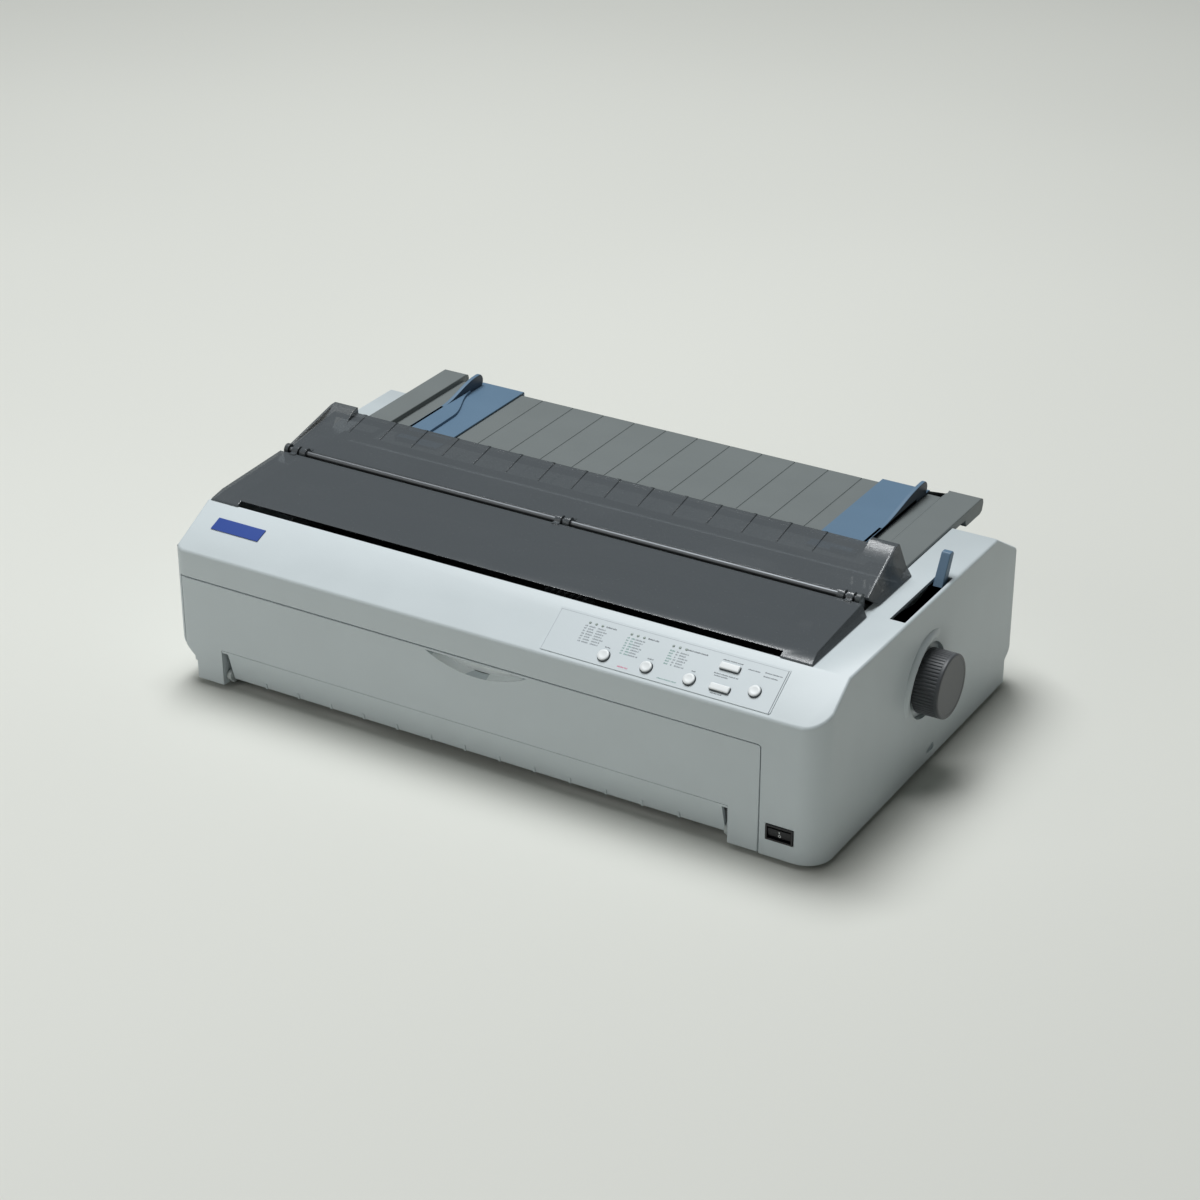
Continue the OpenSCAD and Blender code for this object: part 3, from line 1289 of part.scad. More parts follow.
module usb_port() {
    x = port_x[1];
    y1 = body_d;
    color("silver") placed() difference() {
        union() {
            block([x - 6.5, y1 - 18, port_z - 6], [x + 6.5, y1, port_z + 6]);
            block([x - 11, y1 - wall - 2, port_z - 11], [x + 11, y1 - wall, port_z + 11]);
        }
        block([x - 5, y1 - 10, port_z - 4.5], [x + 5, y1 + 1, port_z + 4.5]);
    }
}
module option_cover() {
    x = port_x[2];
    y1 = body_d;
    color("gainsboro") placed() union() {
        block([x - 51.6, y1 - wall - 0.1, port_z - 11.6], [x + 51.6, y1, port_z + 11.6]);
        block([x - 54, y1 - wall - 2, port_z - 14], [x + 54, y1 - wall, port_z + 14]);
    }
}

lower_case();
upper_housing();
rubber_feet();
front_cover();
printer_cover();
sheet_guide_cover();
cover_hinge_rod();
sheet_guide();
edge_guide_left();
edge_guide_right();
control_panel();
round_button_1();
round_button_2();
round_button_3();
round_button_4();
bar_button_1();
bar_button_2();
indicator_lights();
name_plate();
switch_bezel();
switch_rocker();
paper_feed_knob();
platen_roller();
platen_shaft();
platen_gear();
idler_gear_1();
idler_gear_2();
feed_motor();
feed_pinion();
frame_left();
frame_right();
carriage_rod();
carriage_rail();
carriage();
print_head();
ribbon_cartridge();
ribbon_knob();
timing_belt();
carriage_motor();
drive_pulley();
idle_pulley();
tractor_left();
tractor_right();
tractor_flap_left();
tractor_flap_right();
tractor_drive_shaft();
tractor_support_shaft();
tractor_gear();
front_paper_guide();
main_board();
power_board();
transformer();
fan_frame();
fan_rotor();
mains_inlet();
parallel_port();
usb_port();
option_cover();
release_lever();
panel_board();
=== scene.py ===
"""Wide-carriage impact printer: finishes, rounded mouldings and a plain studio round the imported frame."""
from __future__ import annotations

import json
import logging
import math
from dataclasses import dataclass
from enum import Enum
from functools import cached_property, lru_cache
from typing import Callable, Iterable, Sequence

import bmesh
import bpy
from mathutils import Matrix, Vector

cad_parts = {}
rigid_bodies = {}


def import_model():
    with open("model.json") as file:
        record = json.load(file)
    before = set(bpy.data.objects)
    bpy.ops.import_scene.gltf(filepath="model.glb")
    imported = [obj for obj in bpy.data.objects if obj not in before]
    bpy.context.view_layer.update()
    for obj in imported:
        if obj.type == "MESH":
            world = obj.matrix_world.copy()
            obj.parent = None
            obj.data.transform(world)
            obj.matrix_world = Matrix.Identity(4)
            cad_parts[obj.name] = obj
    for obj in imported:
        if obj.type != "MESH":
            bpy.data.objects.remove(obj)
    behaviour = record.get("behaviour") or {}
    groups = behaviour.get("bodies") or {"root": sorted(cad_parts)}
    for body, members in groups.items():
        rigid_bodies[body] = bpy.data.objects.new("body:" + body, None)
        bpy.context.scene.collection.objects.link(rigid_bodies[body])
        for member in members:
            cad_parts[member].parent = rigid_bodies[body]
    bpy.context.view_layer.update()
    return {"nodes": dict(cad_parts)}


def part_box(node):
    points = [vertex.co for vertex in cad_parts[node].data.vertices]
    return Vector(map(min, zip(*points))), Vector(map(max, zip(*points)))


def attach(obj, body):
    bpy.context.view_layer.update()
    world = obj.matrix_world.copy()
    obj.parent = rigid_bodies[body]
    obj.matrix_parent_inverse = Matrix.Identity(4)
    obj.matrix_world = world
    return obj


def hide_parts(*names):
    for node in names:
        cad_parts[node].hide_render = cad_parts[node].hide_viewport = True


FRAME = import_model()
LOG = logging.getLogger("printer")
MM = 0.001
GLASS_IOR = 1.5
Point = tuple[float, float, float]
Colour = tuple[float, float, float]
Edge = bmesh.types.BMEdge
Face = bmesh.types.BMFace


class Axis(Enum):
    """The direction that a turned or drawn-out form runs along."""

    X = 0
    Y = 1
    Z = 2


# ---- Layout: millimetres from the middle of the housing, its front face and the table ----


@dataclass(frozen=True)
class Layout:
    """Places in the housing's own millimetres, and the way back to the frame."""

    left_flare: float = 3.0
    body_d: float = 363.0
    body_h: float = 150.3
    crease_h: float = 123.0
    slope_d: float = 44.0
    right_x: float = 302.0

    @cached_property
    def origin(self) -> Vector:
        """The layout's zero point in the frame, in metres."""
        low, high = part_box("upper_housing")
        return Vector(((low.x + self.left_flare * MM + high.x) / 2, low.y, 0.0))

    @property
    def slope_angle(self) -> float:
        """Tilt of the sloping panel, in radians."""
        return math.atan((self.body_h - self.crease_h) / self.slope_d)

    def to_frame(self) -> Matrix:
        """The matrix from layout millimetres to the frame."""
        return Matrix.Translation(self.origin) @ Matrix.Scale(MM, 4)

    def on_slope(self, x: float, s: float, lift: float = 0.0) -> Matrix:
        """The matrix that lays a flat form on the sloping panel.

        Args:
            x: Place across the panel, in millimetres.
            s: Place up the slope from the front crease, in millimetres.
            lift: Height above the slope, in millimetres.

        Returns:
            A matrix whose local X runs across, Y up the slope and Z out of it.
        """
        tilt = Matrix.Rotation(self.slope_angle, 4, "X")
        start = Matrix.Translation((x, 0, self.crease_h))
        return start @ tilt @ Matrix.Translation((0, s, lift))

    @lru_cache(maxsize=None)
    def mm_box(self, node: str) -> tuple[Vector, Vector]:
        """A CAD node's lowest and highest corner, in layout millimetres."""
        low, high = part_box(node)
        origin = self.origin
        return (low - origin) / MM, (high - origin) / MM


LAYOUT = Layout()


# ---- Shader maths ----


class Signal:
    """A shader value that takes part in Python expressions."""

    def __init__(self, recipe: "Recipe", socket: bpy.types.NodeSocket) -> None:
        """Wraps a socket of a recipe."""
        self.recipe = recipe
        self.socket = socket

    def _math(self, operation: str, *values: "Signal | float") -> "Signal":
        """Adds one Math node.

        Args:
            operation: The Math node's operation.
            values: Its inputs, in order.

        Returns:
            The node's result.
        """
        inputs = dict(enumerate(values))
        return self.recipe.node("ShaderNodeMath", {"operation": operation}, inputs)

    def __add__(self, other: "Signal | float") -> "Signal":
        """Sum."""
        return self._math("ADD", self, other)

    __radd__ = __add__

    def __sub__(self, other: "Signal | float") -> "Signal":
        """Difference."""
        return self._math("SUBTRACT", self, other)

    def __rsub__(self, other: "Signal | float") -> "Signal":
        """Difference the other way round, as in 1 - mask."""
        return self._math("SUBTRACT", other, self)

    def __mul__(self, other: "Signal | float") -> "Signal":
        """Product."""
        return self._math("MULTIPLY", self, other)

    __rmul__ = __mul__

    def fitted(self, low: float, high: float) -> "Signal":
        """The value spread softly from 0 at low to 1 at high."""
        settings = {"interpolation_type": "SMOOTHSTEP"}
        inputs = {"Value": self, "From Min": low, "From Max": high, "To Min": 0.0, "To Max": 1.0}
        return self.recipe.node("ShaderNodeMapRange", settings, inputs, "Result")


class Recipe:
    """The node tree of one material."""

    def __init__(self, name: str) -> None:
        """Starts an empty material.

        Args:
            name: The material's name.
        """
        self.material = bpy.data.materials.new(name)
        self.material.use_nodes = True
        self.tree = self.material.node_tree
        self.tree.nodes.clear()
        self.shader = self.tree.nodes.new("ShaderNodeBsdfPrincipled")
        output = self.tree.nodes.new("ShaderNodeOutputMaterial")
        self.tree.links.new(self.shader.outputs[0], output.inputs["Surface"])

    def node(self, kind: str, settings: dict[str, object] | None = None,
             inputs: dict[str | int, object] | None = None, output: str | int = 0) -> Signal:
        """Adds any node.

        Args:
            kind: The node's type.
            settings: Its settings, set first.
            inputs: Values or links of its sockets, by name or place.
            output: The socket that is read.

        Returns:
            The chosen output.
        """
        made = self.tree.nodes.new(kind)
        for key, value in (settings or {}).items():
            setattr(made, key, value)
        for key, value in (inputs or {}).items():
            self._feed(made.inputs[key], value)
        return Signal(self, made.outputs[output])

    def _feed(self, socket: bpy.types.NodeSocket, value: object) -> None:
        """Links or sets one socket.

        Args:
            socket: The input.
            value: A Signal, a number, or a tuple of numbers.
        """
        if isinstance(value, Signal):
            self.tree.links.new(value.socket, socket)
        elif isinstance(value, tuple) and len(value) == 3 and socket.type == "RGBA":
            socket.default_value = (*value, 1.0)
        else:
            socket.default_value = value

    def place(self, stretch: Point = (1.0, 1.0, 1.0)) -> Signal:
        """Object coordinates in metres, stretched by a factor along each axis."""
        coordinates = self.node("ShaderNodeTexCoord", output="Object")
        return self.node("ShaderNodeMapping", {}, {"Vector": coordinates, "Scale": stretch})

    def noise(self, size: float, detail: float = 2.0, stretch: Point = (1.0, 1.0, 1.0)) -> Signal:
        """Noise from 0 to 1.

        Args:
            size: Size of its spots, in millimetres.
            detail: How many finer layers it has.
            stretch: Factor along each axis.

        Returns:
            The noise.
        """
        inputs = {"Vector": self.place(stretch), "Scale": 1 / (size * MM), "Detail": detail}
        return self.node("ShaderNodeTexNoise", {}, inputs, "Fac")

    def blend(self, mask: Signal | float, low: object, high: object) -> Signal:
        """A colour between two, by a mask.

        Args:
            mask: 0 for the first colour and 1 for the second.
            low: The first colour.
            high: The second colour.

        Returns:
            The blended colour.
        """
        settings = {"data_type": "RGBA"}
        return self.node("ShaderNodeMix", settings, {0: mask, 6: low, 7: high}, 2)

    def bump(self, height: Signal, depth: float) -> Signal:
        """A normal from a height field.

        Args:
            height: The height, from 0 to 1.
            depth: What a height of 1 stands for, in millimetres.

        Returns:
            The normal.
        """
        inputs = {"Height": height, "Distance": depth * MM, "Strength": 1.0}
        return self.node("ShaderNodeBump", {}, inputs)

    def finish(self, **sockets: object) -> bpy.types.Material:
        """Feeds the shader and gives the material.

        Args:
            sockets: Socket names with underscores for spaces, and their values.

        Returns:
            The material.
        """
        for key, value in sockets.items():
            self._feed(self.shader.inputs[key.replace("_", " ")], value)
        return self.material


def tinted(colour: Colour, factor: float) -> Colour:
    """A colour made lighter or darker by a factor."""
    return tuple(min(1.0, channel * factor) for channel in colour)


# ---- Finishes ----


@dataclass(frozen=True)
class MouldedPlastic:
    """Injection-moulded plastic with a fine spark-eroded grain (sizes and depths in millimetres)."""

    colour: Colour
    roughness: float = 0.42
    grain: float = 0.55
    depth: float = 0.018
    mottle: float = 0.015
    sheen_spots: float = 60.0

    def material(self, name: str) -> bpy.types.Material:
        """Makes the material: grain, faint flow marks and handled patches."""
        recipe = Recipe(name)
        flow = recipe.noise(self.sheen_spots, 3.0, (1.0, 1.6, 1.0))
        grain = recipe.noise(self.grain, 4.0)
        speck = recipe.noise(self.grain * 5, 2.0)
        tone = recipe.blend(flow.fitted(0.3, 0.7), tinted(self.colour, 1 - self.mottle),
                            tinted(self.colour, 1 + self.mottle))
        shade = recipe.blend(speck.fitted(0.6, 0.85) * 0.2, tone, tinted(self.colour, 0.95))
        rough = self.roughness + (flow - 0.5) * 0.08 + (grain - 0.5) * 0.1
        return recipe.finish(Base_Color=shade, Roughness=rough,
                             Normal=recipe.bump(grain + speck * 0.4, self.depth))


@dataclass(frozen=True)
class SmokedPlastic:
    """Tinted clear plastic, polished, with a breath of dust and faint wipe marks."""

    colour: Colour
    clearness: float = 0.24
    roughness: float = 0.16
    wipe_size: float = 26.0
    dust_size: float = 1.1
    ripple_size: float = 60.0
    ripple_depth: float = 0.04

    def material(self, name: str) -> bpy.types.Material:
        """Makes the material: see-through tint, dust and soft wipe marks."""
        recipe = Recipe(name)
        wipe = recipe.noise(self.wipe_size, 3.0, (0.35, 1.0, 1.0))
        dust = recipe.noise(self.dust_size, 3.0).fitted(0.62, 0.8)
        ripple = recipe.noise(self.ripple_size, 1.0)
        shade = recipe.blend(dust * 0.25, self.colour, tinted(self.colour, 1.8))
        rough = self.roughness + wipe.fitted(0.35, 0.75) * 0.05 + dust * 0.1
        alpha = (1 - self.clearness) + dust * 0.1 + (wipe - 0.5) * 0.02
        return recipe.finish(Base_Color=shade, Roughness=rough, Alpha=alpha,
                             Normal=recipe.bump(ripple, self.ripple_depth), IOR=GLASS_IOR)


@dataclass(frozen=True)
class DrawnMetal:
    """Metal with the fine lines of drawing, turning or rolling along one axis."""

    colour: Colour
    along: Axis = Axis.X
    roughness: float = 0.24
    lines: float = 0.35
    metallic: float = 1.0

    def material(self, name: str) -> bpy.types.Material:
        """Makes the material: lines along one axis and faint smears."""
        recipe = Recipe(name)
        stretch = tuple(0.03 if axis is self.along else 1.0 for axis in Axis)
        lines = recipe.noise(self.lines, 3.0, stretch)
        smear = recipe.noise(22.0, 3.0)
        shade = recipe.blend(lines.fitted(0.3, 0.7), tinted(self.colour, 0.9), tinted(self.colour, 1.06))
        rough = self.roughness + (lines - 0.5) * 0.2 + smear.fitted(0.5, 0.8) * 0.12
        return recipe.finish(Base_Color=shade, Roughness=rough, Metallic=self.metallic,
                             Normal=recipe.bump(lines, 0.01))


@dataclass(frozen=True)
class PlatedSheet:
    """Zinc-plated sheet with a faint crystal spangle."""

    colour: Colour
    spangle: float = 7.0
    roughness: float = 0.36

    def material(self, name: str) -> bpy.types.Material:
        """Makes the material: cells of slightly different tone and gloss."""
        recipe = Recipe(name)
        inputs = {"Vector": recipe.place(), "Scale": 1 / (self.spangle * MM)}
        cells = recipe.node("ShaderNodeTexVoronoi", {}, inputs, "Distance")
        stain = recipe.noise(30.0, 4.0)
        shade = recipe.blend(cells.fitted(0.1, 0.7), tinted(self.colour, 1.08), tinted(self.colour, 0.86))
        rough = self.roughness + (cells - 0.4) * 0.16 + stain.fitted(0.5, 0.8) * 0.15
        return recipe.finish(Base_Color=shade, Roughness=rough, Metallic=0.85,
                             Normal=recipe.bump(stain, 0.02))


@dataclass(frozen=True)
class GroundRubber:
    """Rubber with a ground or moulded skin and a bloom of dust."""

    colour: Colour
    roughness: float = 0.66
    bloom: float = 0.3

    def material(self, name: str) -> bpy.types.Material:
        """Makes the material: fine grinding, and a paler bloom in patches."""
        recipe = Recipe(name)
        grind = recipe.noise(0.4, 3.0, (1.0, 0.3, 0.3))
        patch = recipe.noise(15.0, 4.0).fitted(0.45, 0.8)
        shade = recipe.blend(patch * self.bloom, self.colour, tinted(self.colour, 2.4))
        rough = self.roughness + patch * 0.15 + (grind - 0.5) * 0.12
        return recipe.finish(Base_Color=shade, Roughness=rough, Normal=recipe.bump(grind, 0.03))


@dataclass(frozen=True)
class SolderMask:
    """A circuit board's lacquer with tracks showing through."""

    colour: Colour
    track: float = 2.4

    def material(self, name: str) -> bpy.types.Material:
        """Makes the material: paler tracks in two directions and a glossy coat."""
        recipe = Recipe(name)
        across = recipe.noise(self.track, 0.0, (1.0, 0.06, 1.0)).fitted(0.52, 0.56)
        along = recipe.noise(self.track, 0.0, (0.06, 1.0, 1.0)).fitted(0.54, 0.58)
        tracks = across + along * (1 - across)
        shade = recipe.blend(tracks, self.colour, tinted(self.colour, 1.5))
        return recipe.finish(Base_Color=shade, Roughness=0.3 + tracks * 0.1,
                             Normal=recipe.bump(tracks, 0.035))


@dataclass(frozen=True)
class Ink:
    """A flat printed or lit mark with the slight unevenness of screen printing."""

    colour: Colour
    roughness: float = 0.5

    def material(self, name: str) -> bpy.types.Material:
        """Makes the material: ink that lies a little thinner in places."""
        recipe = Recipe(name)
        thin = recipe.noise(1.4, 2.0)
        shade = recipe.blend(thin.fitted(0.3, 0.8), self.colour, tinted(self.colour, 1.12))
        return recipe.finish(Base_Color=shade, Roughness=self.roughness + (thin - 0.5) * 0.1)


@dataclass(frozen=True)
class StudioFloor:
    """A plain pale floor."""

    colour: Colour

    def material(self, name: str) -> bpy.types.Material:
        """Makes the material: a smooth, faintly uneven paint."""
        recipe = Recipe(name)
        haze = recipe.noise(900.0, 1.0)
        shade = recipe.blend(haze.fitted(0.3, 0.7), self.colour, tinted(self.colour, 0.97))
        return recipe.finish(Base_Color=shade, Roughness=0.7)


# ---- Meshes ----

# Angles in degrees, distances in millimetres.
SHARP_ANGLE = 28.0
FLAT_ANGLE = 0.4
WELD_GAP = 0.003
SLIVER = 0.002


def placed(name: str, data: bpy.types.ID) -> bpy.types.Object:
    """Makes an object of a mesh, a light or a camera and puts it in the scene.

    Args:
        name: The object's name.
        data: What it shows.

    Returns:
        The object.
    """
    made = bpy.data.objects.new(name, data)
    bpy.context.scene.collection.objects.link(made)
    return made


@dataclass(frozen=True)
class Rounding:
    """One pass of rounded edges.

    The pass takes edges sharper than an angle, wherever the test says yes. Short edges, as on a
    rounded corner, are taken only where the pass says so.
    """

    width: float
    segments: int = 2
    angle: float = SHARP_ANGLE
    where: Callable[[Edge], bool] | None = None
    short: bool = False

    def takes(self, edge: Edge) -> bool:
        """Tells whether this pass rounds an edge.

        Args:
            edge: The edge.

        Returns:
            True where it is sharp enough, long enough and in the right place.
        """
        if len(edge.link_faces) != 2 or (not self.short and edge.calc_length() < self.width * 1.2):
            return False
        if edge.calc_face_angle(0.0) < math.radians(self.angle):
            return False
        return self.where is None or self.where(edge)


def bevelled(mesh: bmesh.types.BMesh, edges: Iterable[Edge], width: float, segments: int,
             clamp: bool = True) -> None:
    """Rounds edges of a mesh.

    Args:
        mesh: The mesh.
        edges: The edges.
        width: Width of the rounding.
        segments: Its steps.
        clamp: Whether it stays narrow enough for every face, or slides along the next edges.
    """
    bmesh.ops.bevel(mesh, geom=list(edges), offset=width, segments=segments, profile=0.5, affect="EDGES",
                    material=-1, clamp_overlap=clamp, loop_slide=not clamp)


class Moulding:
    """A mesh in layout millimetres that becomes one finished piece."""

    def __init__(self) -> None:
        """Starts with nothing."""
        self.bm = bmesh.new()

    @classmethod
    def from_node(cls, node: str) -> "Moulding":
        """Takes a merged copy of a CAD node.

        Args:
            node: The node's name.

        Returns:
            The copy, with flat faces joined up.
        """
        form = cls()
        form.bm.from_mesh(FRAME["nodes"][node].data)
        form.bm.transform(LAYOUT.to_frame().inverted())
        bmesh.ops.remove_doubles(form.bm, verts=form.bm.verts[:], dist=WELD_GAP)
        bmesh.ops.dissolve_degenerate(form.bm, edges=form.bm.edges[:], dist=SLIVER)
        bmesh.ops.dissolve_limit(form.bm, angle_limit=math.radians(FLAT_ANGLE), verts=form.bm.verts[:],
                                 edges=form.bm.edges[:], use_dissolve_boundaries=False)
        return form

    def slab(self, low: Sequence[float], high: Sequence[float], matrix: Matrix | None = None,
             radius: float = 0.0, segments: int = 2) -> "Moulding":
        """Adds a box between two corners, with its edges rounded.

        Args:
            low: The lowest corner.
            high: The highest corner.
            matrix: A move applied last.
            radius: Radius of its edges, or 0 for none.
            segments: Steps of the rounding.

        Returns:
            This moulding.
        """
        size = Vector(high) - Vector(low)
        middle = (Vector(high) + Vector(low)) / 2
        lay = Matrix.Translation(middle) @ Matrix.Diagonal((*size, 1.0))
        box = bmesh.new()
        bmesh.ops.create_cube(box, size=1.0, matrix=lay)
        if radius > 0:
            bevelled(box, box.edges, radius, segments)
        return self.join(box, matrix or Matrix.Identity(4))

    def lathe(self, profile: Sequence[tuple[float, float]], matrix: Matrix, steps: int = 48) -> "Moulding":
        """Adds a turned form.

        Args:
            profile: Radius and height of each point, from one pole to the other.
            matrix: Lays the local Z axis in place.
            steps: Steps of a full turn.

        Returns:
            This moulding.
        """
        turn = bmesh.new()
        verts = [turn.verts.new((radius, 0, height)) for radius, height in profile]
        edges = [turn.edges.new(pair) for pair in zip(verts, verts[1:])]
        bmesh.ops.spin(turn, geom=verts + edges, cent=(0, 0, 0), axis=(0, 0, 1), angle=math.tau,
                       steps=steps, use_merge=True)
        bmesh.ops.remove_doubles(turn, verts=turn.verts[:], dist=0.0005)
        return self.join(turn, matrix)

    def drawn(self, outline: Sequence[tuple[float, float]], low: float, high: float, axis: Axis,
              radius: float = 0.0, segments: int = 2, matrix: Matrix | None = None) -> "Moulding":
        """Adds a flat outline drawn out along an axis.

        Args:
            outline: Points in the plane across the axis: (y, z), (x, z) or (x, y).
            low: Where it starts along the axis.
            high: Where it ends.
            axis: The axis.
            radius: Radius of its sharp edges, or 0 for none.
            segments: Steps of the rounding.
            matrix: A move applied last.

        Returns:
            This moulding.
        """
        draw = bmesh.new()
        places = {Axis.X: lambda a, b: (low, a, b), Axis.Y: lambda a, b: (a, low, b),
                  Axis.Z: lambda a, b: (a, b, low)}[axis]
        face = draw.faces.new([draw.verts.new(places(a, b)) for a, b in outline])
        grown = bmesh.ops.extrude_face_region(draw, geom=[face])["geom"]
        step = Vector((0, 0, 0))
        step[axis.value] = high - low
        moved = [item for item in grown if isinstance(item, bmesh.types.BMVert)]
        bmesh.ops.translate(draw, vec=step, verts=moved)
        bmesh.ops.recalc_face_normals(draw, faces=draw.faces[:])
        if radius > 0:
            sharp = [edge for edge in draw.edges if edge.calc_face_angle(0.0) > math.radians(SHARP_ANGLE)]
            bevelled(draw, sharp, radius, segments)
        return self.join(draw, matrix or Matrix.Identity(4))

    def join(self, other: bmesh.types.BMesh, matrix: Matrix) -> "Moulding":
        """Adds another mesh, turned outwards, and frees it.

        Args:
            other: The mesh.
            matrix: The move that puts it in place.

        Returns:
            This moulding.
        """
        bmesh.ops.recalc_face_normals(other, faces=other.faces[:])
        other.transform(matrix)
        carrier = bpy.data.meshes.new("carrier")
        other.to_mesh(carrier)
        other.free()
        self.bm.from_mesh(carrier)
        bpy.data.meshes.remove(carrier)
        return self

    def rounded(self, *passes: Rounding) -> "Moulding":
        """Rounds edges, the widest pass first.

        Args:
            passes: The passes.

        Returns:
            This moulding.
        """
        for step in passes:
            edges = [edge for edge in self.bm.edges if step.takes(edge)]
            if edges:
                bevelled(self.bm, edges, step.width, step.segments, False)
        return self

    def tinted(self, where: Callable[[Face], bool]) -> "Moulding":
        """Gives some faces the piece's second finish.

        Args:
            where: Tells which faces take it.

        Returns:
            This moulding.
        """
        self.bm.normal_update()
        for face in self.bm.faces:
            face.material_index = int(where(face))
        return self

    def piece(self, name: str, body: str, finish: "Finish", replaces: Sequence[str] = (),
              sharp: float = 32.0, second: bpy.types.Material | None = None) -> bpy.types.Object:
        """Turns the moulding into a piece that rides on a body.

        Args:
            name: The piece's name.
            body: The CAD body that it rides on.
            finish: Its finish.
            replaces: CAD nodes that it stands for.
            sharp: Edges sharper than this stay sharp, in degrees.
            second: Finish of its tinted faces.

        Returns:
            The piece.
        """
        self.bm.transform(LAYOUT.to_frame())
        bmesh.ops.dissolve_degenerate(self.bm, edges=self.bm.edges[:], dist=1e-7)
        mesh = bpy.data.meshes.new(name)
        self.bm.to_mesh(mesh)
        self.bm.free()
        mesh.polygons.foreach_set("use_smooth", [True] * len(mesh.polygons))
        mesh.set_sharp_from_angle(angle=math.radians(sharp))
        mesh.materials.append(finish.made())
        if second is not None:
            mesh.materials.append(second)
        made = placed(name, mesh)
        even = made.modifiers.new("even_normals", "WEIGHTED_NORMAL")
        even.keep_sharp = True
        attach(made, body)
        if replaces:
            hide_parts(*replaces)
        return made


def turned(point: Sequence[float], axis: Axis) -> Matrix:
    """The matrix that lays local Z along an axis at a point.

    Args:
        point: The point, in layout millimetres.
        axis: The axis.

    Returns:
        The matrix.
    """
    lay = {Axis.X: Matrix.Rotation(math.pi / 2, 4, "Y"), Axis.Y: Matrix.Rotation(-math.pi / 2, 4, "X"),
           Axis.Z: Matrix.Identity(4)}[axis]
    return Matrix.Translation(point) @ lay


class Finish(Enum):
    """The record's material slots."""

    HOUSING = "housing_plastic"
    CASE = "case_plastic"
    FOOT = "foot_rubber"
    SMOKED = "smoked_plastic"
    STEEL = "bright_steel"
    TRAY = "tray_plastic"
    BLUE = "blue_plastic"
    FILM = "overlay_film"
    LIGHT = "light_pipe"
    PLATE = "plate_blue"
    BLACK = "black_plastic"
    KNOB = "knob_plastic"
    PLATEN = "platen_rubber"
    GEAR = "gear_plastic"
    MOTOR = "motor_steel"
    FRAME = "frame_steel"
    HEAD = "head_aluminium"
    CARTRIDGE = "cartridge_plastic"
    BOARD = "board_green"
    POWER_BOARD = "board_brown"
    BUTTON = "button_white"

    def made(self) -> bpy.types.Material:
        """The slot's material, made once."""
        name = self.value + "_surface"
        return bpy.data.materials.get(name) or FINISHES[self].material(name)


FINISHES: dict[Finish, object] = {
    Finish.HOUSING: MouldedPlastic((0.60, 0.66, 0.685), 0.42),
    Finish.CASE: MouldedPlastic((0.50, 0.54, 0.54), 0.46),
    Finish.FOOT: GroundRubber((0.018, 0.018, 0.02), 0.75),
    Finish.SMOKED: SmokedPlastic((0.102, 0.114, 0.124)),
    Finish.STEEL: DrawnMetal((0.55, 0.57, 0.59), roughness=0.34),
    Finish.TRAY: MouldedPlastic((0.165, 0.185, 0.186), 0.48),
    Finish.BLUE: MouldedPlastic((0.112, 0.192, 0.285), 0.46),
    Finish.FILM: MouldedPlastic((0.61, 0.67, 0.70), 0.38, 0.3, 0.006, 0.01),
    Finish.LIGHT: MouldedPlastic((0.30, 0.36, 0.33), 0.3, 0.4, 0.004),
    Finish.PLATE: MouldedPlastic((0.035, 0.08, 0.34), 0.3, 0.3, 0.005, 0.03),
    Finish.BLACK: MouldedPlastic((0.012, 0.012, 0.014), 0.4),
    Finish.KNOB: MouldedPlastic((0.085, 0.09, 0.098), 0.44),
    Finish.PLATEN: GroundRubber((0.016, 0.016, 0.017), 0.5),
    Finish.GEAR: MouldedPlastic((0.70, 0.67, 0.58), 0.36, 0.8, 0.01),
    Finish.MOTOR: DrawnMetal((0.18, 0.185, 0.2), Axis.Z, 0.4, 0.5, 0.8),
    Finish.FRAME: PlatedSheet((0.55, 0.57, 0.58)),
    Finish.HEAD: DrawnMetal((0.28, 0.29, 0.30), Axis.Y, 0.45, 0.6, 0.9),
    Finish.CARTRIDGE: MouldedPlastic((0.016, 0.016, 0.018), 0.38),
    Finish.BOARD: SolderMask((0.012, 0.09, 0.035)),
    Finish.POWER_BOARD: SolderMask((0.16, 0.095, 0.04)),
    Finish.BUTTON: MouldedPlastic((0.80, 0.83, 0.84), 0.3, 0.5, 0.006, 0.02),
}


def once(name: str, finish: "MouldedPlastic | DrawnMetal | Ink") -> bpy.types.Material:
    """A material outside the record's slots, made the first time it is asked for."""
    return bpy.data.materials.get(name) or finish.material(name)


def dressed(node: str, name: str, body: str, finish: Finish, *passes: Rounding) -> None:
    """Rounds a copy of a CAD node and makes it the piece that replaces the node.

    Args:
        node: The CAD node.
        name: The piece's name.
        body: The CAD body that it rides on.
        finish: Its finish.
        passes: Its rounded edges.
    """
    Moulding.from_node(node).rounded(*passes).piece(name, body, finish, [node])


# ---- Sub-assemblies ----

# Places on the sloping panel: across it, and up it from the front crease.
BUTTON_PLACES = {"round_button_1": (106.5, 13.0), "round_button_2": (144.0, 13.4),
                 "round_button_3": (181.5, 13.4), "round_button_4": (235.2, 18.8)}


